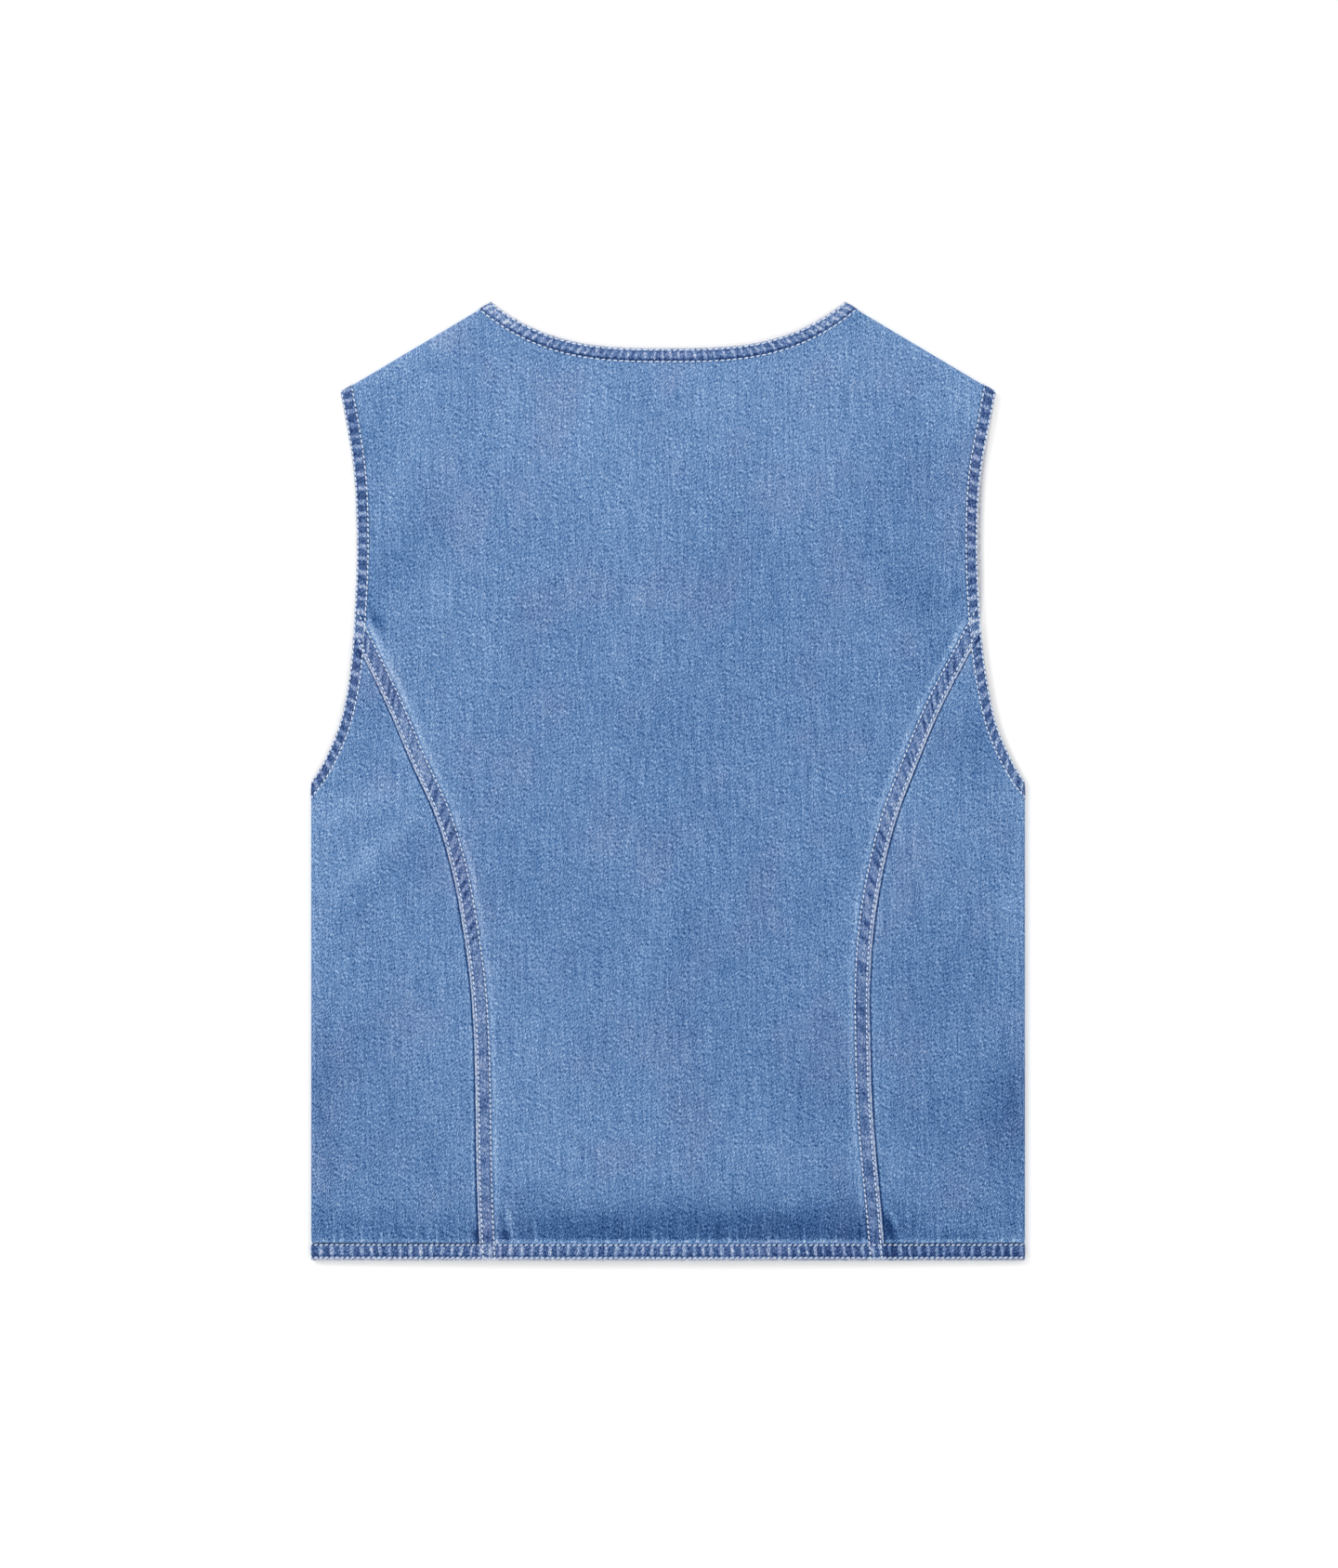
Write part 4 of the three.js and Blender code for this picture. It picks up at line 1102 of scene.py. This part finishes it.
def stitched(name, lines, ply, rise, seed, slant=0.1, pitch=PITCH):
    """Stitches along pattern lines, and the needle's holes between them: two pieces.

    rise is how high they ride, or a function that gives it for each point of a line. slant turns each
    stitch a little across its row, in radians.
    """
    points, outs, edges = [], [], []
    for line in lines:
        line = at_shares(line, np.linspace(0, 1, int(runs(line)[-1] / 0.7) + 2))
        out = outward(line[:, 0], line[:, 1], ply)
        first = sum(len(p) for p in points)
        edges += [(first + k, first + k + 1) for k in range(len(line) - 1)]
        ride = rise(line) if callable(rise) else np.full(len(line), rise)
        points.append(laid(line[:, 0], line[:, 1], ply) + out * ride[:, None])
        outs.append(out)
    made = []
    for kind, sizes, start, sink, paint, sway, slot in (
        ("thread", STITCH | {"length": pitch * STITCH_SHARE}, ROW_START, 0.0, thread_paint, 0.1, "thread"),
        # The holes: dark bodies sunk between the stitches, painted shade where the thread dives into the cloth.
        ("holes", HOLE, ROW_START + pitch / 2, HOLE_SINK, hole_shade_paint, 0.3, "hem_denim"),
    ):
        mesh = bpy.data.meshes.new(f"{kind}_{name}")
        rows = np.concatenate(points) - np.concatenate(outs) * sink
        mesh.from_pydata((rows * MM).tolist(), edges, [])
        layer = mesh.attributes.new("out", "FLOAT_VECTOR", "POINT")
        layer.data.foreach_set("vector", np.concatenate(outs).ravel())
        piece = new_piece(f"{kind}_{name}", mesh)
        modifier = piece.modifiers.new("stitches", "NODES")
        modifier.node_group = stitch_tree
        values = {key.capitalize(): size * MM for key, size in sizes.items()} | {"Pitch": pitch * MM}
        values |= {"Start": start * MM, "Slant": slant, "Sway": sway, "Seed": seed, "Thread": paint}
        for item in stitch_tree.interface.items_tree:
            if item.in_out == "INPUT" and item.name in values:
                modifier[item.identifier] = values[item.name]
        evaluated = piece.evaluated_get(bpy.context.evaluated_depsgraph_get())
        plain = bpy.data.meshes.new_from_object(evaluated)
        piece.modifiers.clear()
        piece.data = plain
        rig.slot(piece, slot)
        made.append(piece)
    return made


def over_bands(side):
    """The function that gives how high a felled seam's row rides: higher where it crosses a hem."""
    armhole = armhole_line(side, 1.0)

    def ride(line):
        line = mirrored(line, SIDES[side])
        past = runs(line) - runs(line)[meeting(line, armhole)[0]]
        on_hem = np.maximum(smooth((HEM_DEEP + 0.4 - line[:, 1]) / 1.2), smooth(past / 1.5))
        return FELL_RIDE + BAND_RIDE * on_hem

    return ride


hem_lines = [np.stack([hem_xs, np.full_like(hem_xs, up)], axis=1) for up in HEM_ROWS]
hem_thread = stitched("hem_back", hem_lines, HEM_PLY, RIDE, 1, 0.3)
neck_lines = [whole_neck(inset) for inset in NECK_ROWS]
neck_thread = stitched("neck_back", neck_lines, HEM_PLY, RIDE, 2, pitch=NECK_PITCH)
side_threads = {}
for side, sign in SIDES.items():
    round_arm = [mirrored(armhole_line(side, 1.0 - row), sign) for row in ARMHOLE_ROWS]
    near_edge = armhole_line(side, 0.1)
    down_seam = [mirrored(rows_on_band(seam_line(side, d), near_edge, 0.4), sign) for d in FELL_ROWS]
    side_threads[side] = stitched(f"armhole_{side}", round_arm, HEM_PLY, RIDE, 5 + sign)
    side_threads[side] += stitched(f"fell_seam_{side}", down_seam, CLOTH, over_bands(side), 8 + sign)

# Back centre
# The middle of the back, cut from the hem to the neck and shoulders between the two curved seams.
# Washed right-hand denim twill of one ply, whose edges run a TUCK under the stitching of the seams and
# hems, and are pulled down into a groove there.
TUCK = 0.8
# The same as a share of an armhole hem's depth, which is about 8
TUCK_SHARE = TUCK / 8
GROOVE = 0.5
PANEL_COLOURS = [
    (0.0, (22, 50, 98)),
    (0.25, (53, 92, 145)),
    (0.5, (95, 134, 184)),
    (0.75, (141, 174, 215)),
    (1.0, (205, 221, 240)),
]
PANEL_DULL = [
    (0.0, (26, 49, 97)),
    (0.25, (58, 92, 144)),
    (0.5, (102, 135, 183)),
    (0.75, (149, 175, 214)),
    (1.0, (208, 221, 239)),
]
panel_denim = denim("washed_denim", PANEL_COLOURS, PANEL_DULL)


def graded(length, fine, coarse, reach=14.0):
    """Shares from 0 to 1 whose spacing, on a line of about this length, is fine within reach of both ends
    and coarse between."""
    place = [0.0]
    while place[-1] < length:
        near = min(place[-1], length - place[-1])
        place.append(place[-1] + fine + (coarse - fine) * float(smooth(near / reach)))
    return np.array(place) / place[-1]


def patch(bottom, top, left, right):
    """A grid of pattern points between four edges. left and right run up, bottom and top run across."""
    u = ((runs(bottom) / runs(bottom)[-1] + runs(top) / runs(top)[-1]) / 2)[:, None, None]
    v = ((runs(left) / runs(left)[-1] + runs(right) / runs(right)[-1]) / 2)[None, :, None]
    grid = (1 - v) * bottom[:, None] + v * top[:, None] + (1 - u) * left[None] + u * right[None]
    grid -= (1 - v) * ((1 - u) * bottom[0] + u * bottom[-1]) + v * ((1 - u) * top[0] + u * top[-1])
    grid[0], grid[-1], grid[:, 0], grid[:, -1] = left, right, bottom, top
    return grid


def back_side_edge(side):
    """The back centre's edge: up the seam to the armhole, and on to the shoulder seam."""
    armhole = armhole_line(side, 1.0 - TUCK_SHARE)
    up_seam = rows_on_band(seam_line(side, FELL_ROWS[1] - TUCK), armhole, HEM_DEEP - TUCK)
    up_armhole = armhole[np.argmin(np.linalg.norm(armhole - up_seam[-1], axis=1)) :: -1]
    lower = at_shares(up_seam, graded(400, 0.9, 3.4))
    upper = at_shares(up_armhole, graded(170, 0.9, 3.0))
    return mirrored(np.vstack([lower, upper[1:]]), SIDES[side])


def from_edges(grid):
    """How far each point of a grid lies from its left, right, bottom and top edges."""
    return [np.linalg.norm(grid - edge, axis=-1) for edge in (grid[:1], grid[-1:], grid[:, :1], grid[:, -1:])]


def patches(x, up, table):
    """The sum of soft patches: (x, up, reach, reach across it, turn in degrees, amount)."""
    total = np.zeros_like(x)
    for middle_x, middle_up, reach, over, turn, amount in table:
        c, s = math.cos(math.radians(turn)), math.sin(math.radians(turn))
        a = ((x - middle_x) * c + (up - middle_up) * s) / reach
        b = (-(x - middle_x) * s + (up - middle_up) * c) / over
        total += amount * np.exp(-(a * a + b * b))
    return total


def wander(x, *waves):
    """A slow uneven wave along a line, from -1 to 1: each wave is (length, start)."""
    return sum(np.sin(2 * math.pi * x / length + start) for length, start in waves) / len(waves)


def cut(grid):
    p, q = grid[1:, 1:] - grid[:-1, :-1], grid[:-1, 1:] - grid[1:, :-1]
    area = np.abs(p[..., 0] * q[..., 1] - p[..., 1] * q[..., 0]).sum() / 2
    return {"flat": tuple(float(np.ptp(grid[..., k])) * MM for k in (0, 1)), "area": float(area) * MM * MM}


# Soft patches as patches() takes them: where the cloth has lost dye or kept more of it, and painted
# light and shade over its soft creases and folds, with dark dabs at the armhole joins and beside the
# felled seams' crossings with the hem
BACK_FADING_AND_SHADE = [
    (-190, 447, 22, 9, 50, -0.07),
    (-165, 478, 26, 11, 60, -0.05),
    (-176, 520, 30, 11, 65, 0.07),
    (-157, 570, 26, 14, 30, 0.03),
    (-166, 602, 55, 11, 31, 0.13),
    (-107, 562, 14, 26, 0, 0.05),
    (-124, 400, 16, 40, 0, 0.05),
    (-85, 335, 10, 24, 0, -0.03),
    (-75, 110, 22, 40, 0, 0.035),
    (-100, 44, 22, 9, 0, -0.08),
    (-82, 18, 14, 6, 0, 0.05),
    (196, 567, 22, 14, -30, 0.09),
    (166, 602, 50, 10, -31, 0.08),
    (125, 598, 28, 16, 0, 0.05),
    (177, 556, 12, 24, 20, 0.05),
    (54, 530, 12, 18, 0, -0.05),
    (70, 430, 60, 80, 0, -0.02),
    (182, 386, 28, 20, 50, -0.12),
    (152, 322, 12, 26, 0, -0.05),
    (-15, 44, 12, 10, 0, -0.04),
    (44, 318, 26, 14, 0, 0.045),
    (26, 240, 24, 14, 0, 0.035),
    (60, 39, 40, 8, 0, 0.06),
    (167, 437, 26, 18, -55, -0.1),
    (155, 515, 60, 22, 80, -0.05),
    (0, 590, 130, 30, 0, 0.03),
    (-60, 560, 60, 40, 0, 0.03),
    (10, 200, 45, 8, 85, -0.05),
    (0, 275, 90, 150, 0, -0.03),
    (0, 520, 100, 60, 0, 0.02),
    (110, 140, 42, 75, 0, -0.06),
    (-192, 421.5, 8, 3, -58, -0.34),
    (191, 440, 6, 3, 60, -0.14),
    (-107, 16.5, 3.6, 4.4, 0, -0.34),
    (-103.8, 24, 13, 1.7, 101, 0.18),
    (126, 17, 6, 5, 0, -0.2),
    (110, 554, 46, 40, 0, 0.05),
    (-158, 438, 14, 12, 0, 0.07),
]


def dye_and_shade_over_hem(x, up):
    """The darker band over the hem, deepest right of the middle: partly dye that it has kept, and partly painted shade
    of a shallow trough in the cloth there.
    """
    strength = 0.5 + 0.5 * smooth((x + 128) / 70) - 0.68 * smooth((x - 135) / 30)
    reach = 13 + 7 * smooth((x + 60) / 90) + 3 * wander(x, (47, 0.4), (23, 2.0), (11, 1.0))
    fading = np.exp(-(np.maximum(up - 20, 0) ** 2) / reach**2)
    return -0.28 * strength * smooth((up - HEM_DEEP - 1.5) / 2.5) * fading


def over_hem(up):
    """The worn line just above the hem's upper row, and the mask of the streaks that rise from it."""
    streaks = 0.36 * smooth((up - HEM_DEEP - 0.5) / 1.5) * np.exp(-(up - HEM_DEEP) / 7)
    return 0.12 * bump(up, HEM_DEEP + 1.4, 1.3), streaks


back_left, back_right = back_side_edge("left"), back_side_edge("right")
neck_half = neck_line(*BACK_NECK, NECK_HEM - TUCK)
neck_part = at_shares(neck_half, graded(130, 1.0, 3.0))
seam_xs = neck_half[-1, 0] + (back_right[-1, 0] - neck_half[-1, 0]) * graded(88, 0.9, 3.0)
half_top = np.vstack([neck_part, np.stack([seam_xs, shoulder_seam(seam_xs)], axis=1)[1:]])
back_top = np.vstack([mirrored(half_top, -1)[::-1], half_top[1:]])
back_top[0], back_top[-1] = back_left[-1], back_right[-1]
top_share = (runs(back_top) / runs(back_top)[-1])[:, None]
back_bottom = back_left[0] + (back_right[0] - back_left[0]) * top_share
back_grid = patch(back_bottom, back_top, back_left, back_right)

x, up = back_grid[..., 0], back_grid[..., 1]
d_left, d_right, d_bottom, d_top = from_edges(back_grid)
d_side = np.minimum(d_left, d_right)
by_seam = 0.75 + 0.3 * wander(up, (37, 1.0), (19, 0.3), (83, 2.0)) + 0.4 * smooth((up - 320) / 60)
by_seam *= smooth((430 - up) / 16)
hem_line, hem_streaks = over_hem(up)
# Paler in a band beside each felled seam; darker in thin lines of painted shade where the panel dips under the felled
# seams, the hem and the neck hem.
tone = by_seam * (0.19 * bump(d_side, 3.8, 1.7) + 0.02 * bump(d_side, 0, 12)) - 0.16 * bump(d_side, 0.8, 0.9)
tone += hem_line - 0.2 * bump(d_bottom, 0.3, 0.8) + dye_and_shade_over_hem(x, up) + patches(x, up, BACK_FADING_AND_SHADE)
tone -= (np.abs(x) < 118) * 0.16 * bump(d_top, 0.8, 0.9)
groove = -GROOVE * bump(np.minimum(d_side, np.minimum(d_bottom, d_top)), 0, 1.1)
shown = {"rise": groove, "tone": tone, "streaks": hem_streaks}
back_centre = cloth_wall("back_centre", back_grid, panel_denim, "denim", **shown)
on_back = [neck_hem_back, hem_back, *fell_seams.values(), *neck_thread, *hem_thread]
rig.sheet(
    back_centre,
    held="laid",
    rests_on=["denim_front_left", "denim_front_right"],
    with_pieces=on_back,
    **cut(back_grid),
)

# Side backs
# One on each side: from the curved seam, round the folded side, to the side seam underneath.
# The same denim, paler where the side has been folded and rubbed.
# Soft patches on each side back, as patches() takes them: fading and kept dye, painted light and shade over the
# diagonal creases under the arms and by the side folds, and dark dabs beside the felled seams' crossings with the hem.
SIDE_FADING_AND_SHADE = {
    "left": [
        (171, 272, 40, 8, 136, -0.05),
        (160, 262, 26, 7, 136, -0.05),
        (192, 243, 32, 8, 136, -0.03),
        (150, 311, 12, 8, 0, -0.05),
        (172, 341, 14, 12, 0, 0.05),
        (193, 268, 40, 7, 136, 0.08),
        (205, 300, 30, 7, 160, 0.09),
        (214, 128, 26, 24, 0, -0.03),
        (222, 300, 10, 60, 0, 0.05),
        (188, 372, 10, 22, 20, -0.06),
        (230, 96, 10, 60, 0, -0.11),
        (200, 80, 24, 40, 0, -0.04),
        (126.4, 16, 2.2, 5.5, 0, -0.36),
    ],
    "right": [
        (222, 105, 17, 55, 0, -0.11),
        (168, 120, 26, 60, 0, -0.07),
        (232, 100, 9, 90, 0, -0.07),
        (200, 90, 40, 34, 0, -0.05),
        (190, 190, 40, 30, 30, -0.06),
        (208, 349, 14, 24, -20, -0.1),
        (224, 215, 8, 60, 0, 0.05),
        (145, 21, 10, 3.2, 112, -0.36),
        (149, 26, 14, 1.8, 116, 0.2),
        (157, 22, 8, 6, 0, -0.1),
        (180, 345, 14, 20, -20, -0.06),
        (188, 17, 16, 2.5, 0, -0.16),
    ],
}


def side_grid(side):
    """The pattern points of a side back, in right-hand coordinates."""
    armhole = armhole_line(side, 1.0 - TUCK_SHARE)
    up_seam = rows_on_band(seam_line(side, TUCK), armhole, HEM_DEEP - TUCK)
    shares = graded(380, 0.9, 3.4)
    left = at_shares(up_seam, shares)
    low = left[0, 1]
    first = np.argmin(np.linalg.norm(armhole - up_seam[-1], axis=1))
    under_arm = armhole[first : np.argmax(armhole[:, 0] > underneath(SIDE_SEAM_X)) + 1].T
    corner = [FOLD_X, np.interp(FOLD_X, *under_arm)]
    over = graded(90, 0.5, 2.8, 16.0)
    top = at_shares(np.vstack([armhole[first : np.argmax(armhole[:, 0] > FOLD_X)], corner]), over)
    right = np.stack([np.full(len(shares), FOLD_X), low + (top[-1, 1] - low) * shares], axis=1)
    bottom = left[0] + (right[0] - left[0]) * over[:, None]
    grid = patch(bottom, top, left, right)
    round_fold = np.linspace(FOLD_X, FOLD_X + FOLD_ARC, 13)[1:]
    under_width = underneath(SIDE_SEAM_X) - FOLD_X - FOLD_ARC
    under = FOLD_X + FOLD_ARC + under_width * graded(under_width, 0.8, 2.8, 9.0)[1:]
    fold_xs = np.concatenate([round_fold, under])[:, None]
    ups = low + (np.interp(fold_xs, *under_arm) - low) * shares[None]
    return np.concatenate([grid, np.stack([np.broadcast_to(fold_xs, ups.shape), ups], axis=-1)])


for side, sign in SIDES.items():
    grid = side_grid(side)
    x, up = grid[..., 0], grid[..., 1]
    d_seam, d_side_seam, d_low, d_high = from_edges(grid)
    past_fell = d_seam - TUCK
    hem_line, hem_streaks = over_hem(up)
    tone = 0.1 * bump(past_fell, 2.3, 1.2) * (0.7 + 0.3 * wander(up, (41, 0.2), (17, 1.4)))
    on_top = 1 - smooth((x - FOLD_X) / 12)
    tone += 0.08 * bump(d_side_seam, 3, 2) + 0.05 * bump(x, FOLD_X, 5)
    # A worn line over the hem, and a thin line of painted shade where the panel dips under the hem.
    tone += hem_line - 0.2 * bump(d_low, 0.3, 0.8)
    tone += (dye_and_shade_over_hem(sign * x, up) + patches(x, up, SIDE_FADING_AND_SHADE[side])) * on_top
    # Painted shadow: a dark line just outside the felled seam's folded edge, where that edge stands over the side
    # back.
    tone -= 0.62 * (1 + 0.4 * smooth((up - 260) / 80)) * bump(past_fell, 0.25, 0.75)
    groove = -GROOVE * bump(np.minimum(np.minimum(d_low, d_high), d_side_seam), 0, 1.1)
    groove -= GROOVE / 2 * bump(d_seam, 0, 1.2)
    shown = {"rise": groove, "tone": tone, "streaks": hem_streaks}
    piece = cloth_wall(f"side_back_{side}", mirrored(grid, sign), panel_denim, "denim", **shown)
    on_side = [armhole_hems[side], *side_threads[side]]
    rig.sheet(piece, held="folded", rests_on=[f"denim_front_{side}"], with_pieces=on_side, **cut(grid))

# Fronts
# Underneath: two plain fronts that lap at the centre, hemmed as the back is, and each with a doubled
# strip for the buttons along its edge, stitched down both its sides.
FRONT_NECK = (125.0, 2.6)
PLACKET_HALF = 15.0
PLACKET_ROWS = (PLACKET_HALF, -PLACKET_HALF + 2)
PLACKET_RIDE = 0.12
# The fronts' puckers are pale and dark, with no relief of their own.
FLAT_HEM = {"pitch": 6.5, "height": 0.0, "pale": 0.2, "dark": 0.18}
FLAT_NECK = {"pitch": 5.2, "height": 0.0, "pale": 0.2, "dark": 0.15}


def front_neck(inset):
    """A front's neck line, from its shoulder seam to just past the centre, in right-hand coordinates."""
    half = neck_line(*FRONT_NECK, inset)
    past = mirrored(half[1 : np.argmax(half[:, 0] > PLACKET_HALF + 1)][::-1], -1)
    line = np.vstack([past, half])[::-1]
    return np.stack([underneath(line[:, 0]), line[:, 1]], axis=1)


def front_grid(side):
    """The pattern points of a front, from its side seam to its placket, in right-hand coordinates."""
    armhole = armhole_line(side, 1.0 - TUCK_SHARE)
    seam_across, centre_across = underneath(SIDE_SEAM_X), underneath(PLACKET_HALF - TUCK)
    low = HEM_DEEP - TUCK
    turn = np.argmax(armhole[:, 0] > seam_across)
    shares = graded(290, 1.5, 6.0)
    side_part = np.stack([np.full(len(shares), seam_across), low + (armhole[turn, 1] - low) * shares], axis=1)
    outer = np.vstack([side_part, at_shares(armhole[turn:], graded(280, 1.5, 6.0))[1:]])
    neck = front_neck(NECK_HEM - TUCK)
    neck_end = np.array([centre_across, np.interp(centre_across, neck[:, 0], neck[:, 1])])
    neck_run = at_shares(np.vstack([neck[neck[:, 0] < centre_across], neck_end]), graded(170, 1.5, 4.0))
    seam_run = outer[-1, 0] + (neck_run[0, 0] - outer[-1, 0]) * graded(88, 1.5, 5.0)
    top = np.vstack([np.stack([seam_run, shoulder_seam(underneath(seam_run))], axis=1), neck_run[1:]])
    share = (runs(outer) / runs(outer)[-1])[:, None]
    centre = np.array([centre_across, low]) * (1 - share) + neck_end * share
    spread = (centre_across - seam_across) / (centre_across - top[0, 0])
    bottom = np.stack([centre_across - (centre_across - top[:, 0]) * spread, np.full(len(top), low)], axis=1)
    return patch(bottom, top, outer, centre)


def placket_grid():
    """The pattern points of a placket, across the centre front, in right-hand coordinates."""
    xs = underneath(np.linspace(PLACKET_HALF, -PLACKET_HALF, 22))[:, None]
    neck = front_neck(NECK_HEM - TUCK)
    low = HEM_DEEP - TUCK
    ups = low + (np.interp(xs, neck[:, 0], neck[:, 1]) - low) * graded(490, 1.5, 5.0)[None]
    return np.stack([np.broadcast_to(xs, ups.shape), ups], axis=-1)


for side, sign in SIDES.items():
    run = np.arange(underneath(SIDE_SEAM_X), underneath(-PLACKET_HALF) + 0.5, 1.0)
    hem_lines = [mirrored(np.stack([run, np.full_like(run, up)], axis=1), sign) for up in (0.0, HEM_DEEP)]
    hem = turned_hem(f"hem_front_{side}", *hem_lines, HEM_PROFILE, hem_outer_row, FLAT_HEM, 60 + sign)
    shares = np.linspace(0, 1, 240)
    necks = [mirrored(at_shares(front_neck(inset), shares), sign) for inset in (0.0, NECK_HEM)]
    neck_hem = turned_hem(
        f"neck_hem_front_{side}", *necks, NECK_PROFILE, neck_outer_row, FLAT_NECK, 70 + sign
    )
    hem_rows = [mirrored(np.stack([run, np.full_like(run, up)], axis=1), sign) for up in HEM_ROWS]
    hem_thread = stitched(f"hem_front_{side}", hem_rows, HEM_PLY, RIDE, 20 + sign)
    neck_rows = [mirrored(front_neck(inset), sign) for inset in NECK_ROWS]
    neck_thread = stitched(f"neck_front_{side}", neck_rows, HEM_PLY, RIDE, 30 + sign)

    grid = front_grid(side)
    nearest = np.min(from_edges(grid), axis=0)
    shown = {"rise": -GROOVE * bump(nearest, 0, 1.2), "tone": 0.08 * bump(nearest, 3, 2)}
    front = cloth_wall(f"front_{side}", mirrored(grid, sign), panel_denim, "denim", **shown)
    on_front = [hem, neck_hem, *hem_thread, *neck_thread]
    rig.sheet(front, held="laid", rests_on=["white_sweep"], with_pieces=on_front, **cut(grid))

    grid = placket_grid()
    rows = []
    for x in PLACKET_ROWS:
        top = np.interp(underneath(x), *front_neck(0.0).T)
        ups = np.linspace(1.0, top - 1.0, 300)
        rows.append(mirrored(np.stack([np.full_like(ups, underneath(x)), ups], axis=1), sign))
    placket_thread = stitched(f"placket_{side}", rows, CLOTH, PLACKET_RIDE, 50 + sign)
    d_edge = np.abs(grid[..., 0] - underneath(-PLACKET_HALF))
    shown = {"rise": -0.3 * bump(from_edges(grid)[0], 0, 0.7), "tone": 0.18 * bump(d_edge, 0, 1.4) - 0.05}
    placket = cloth_wall(f"placket_{side}", mirrored(grid, sign), panel_denim, "denim", **shown)
    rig.sheet(placket, held="laid", rests_on=["white_sweep"], with_pieces=placket_thread, **cut(grid))

# Buttons
# Six stamped metal shank buttons in a row down the centre front, their faces on the floor: a rolled
# rim round a shallow well with a low dome. BUTTON_FACE is half of its section: radius, and height over
# the floor.
BUTTON_UPS = (62, 138, 214, 290, 366, 442)
BUTTON_SIDES = 64
BUTTON_EDGE = math.radians(50)
BUTTON_FACE = [
    (0.0, 0.42),
    (1.4, 0.44),
    (2.4, 0.52),
    (3.2, 0.68),
    (3.6, 0.74),
    (4.4, 0.72),
    (5.0, 0.72),
    (5.8, 0.68),
    (6.3, 0.5),
    (6.7, 0.16),
    (7.0, 0.04),
    (7.4, 0.0),
    (7.8, 0.02),
    (8.15, 0.14),
    (8.4, 0.38),
    (8.5, 0.7),
    (8.5, 1.35),
    (8.4, 1.62),
    (8.1, 1.78),
    (7.6, 1.8),
    (0.0, 1.8),
]


def stamped_metal():
    """Dull antiqued metal, darker in its worn patches, with fine scratches."""
    shader = Shader("antiqued_metal")
    place = shader.node("ShaderNodeTexCoord")[3]
    patchy = shader.node("ShaderNodeTexNoise", None, {"Vector": place, "Scale": 420.0, "Detail": 4.0})[0]
    fine = shader.node("ShaderNodeTexNoise", None, {"Vector": place, "Scale": 2600.0, "Detail": 2.0})[0]
    colour = shader.ramp(patchy * 0.8 + fine * 0.2, [(0.3, (128, 122, 112)), (0.7, (196, 190, 178))])
    relief = shader.node("ShaderNodeBump", None, {"Strength": 0.3, "Distance": 0.0001, "Height": fine})[0]
    shader.feed(shader.surface.inputs["Base Color"], colour)
    shader.feed(shader.surface.inputs["Roughness"], patchy * 0.25 + 0.28)
    shader.feed(shader.surface.inputs["Normal"], relief)
    shader.surface.inputs["Metallic"].default_value = 1.0
    return shader.material


button_metal = stamped_metal()
for number, button_up in enumerate(BUTTON_UPS, 1):
    turns = np.linspace(0, 2 * math.pi, BUTTON_SIDES, endpoint=False)
    rings = BUTTON_FACE[1:-1]
    points = [(0, 0, BUTTON_FACE[0][1])]
    points += [(r * math.cos(a), r * math.sin(a), z) for r, z in rings for a in turns]
    points.append((0, 0, BUTTON_FACE[-1][1]))
    count, last = len(turns), len(points) - 1
    faces = []
    for k in range(count):
        after = (k + 1) % count
        faces.append((0, 1 + after, 1 + k))
        faces.append((last, last - count + k, last - count + after))
        for row in range(len(rings) - 1):
            low = 1 + row * count
            faces.append((low + k, low + after, low + count + after, low + count + k))
    mesh = bpy.data.meshes.new(f"button_{number}")
    middle = np.array([0, button_up - LENGTH / 2, 0])
    mesh.from_pydata(((np.array(points) + middle) * MM).tolist(), [], faces)
    mesh.shade_smooth()
    mesh.set_sharp_from_angle(angle=BUTTON_EDGE)
    mesh.materials.append(button_metal)
    piece = new_piece(f"metal_button_{number}", mesh)
    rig.replaces(piece, f"button_{number}")
    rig.slot(piece, "button_metal")

# The boxes of the solids and of the pieces above
with open("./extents.json", "w") as sizes:
    json.dump({"cad": [list(corner) for corner in cad_bounds], "visual": [list(corner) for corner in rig.bounds()]}, sizes)
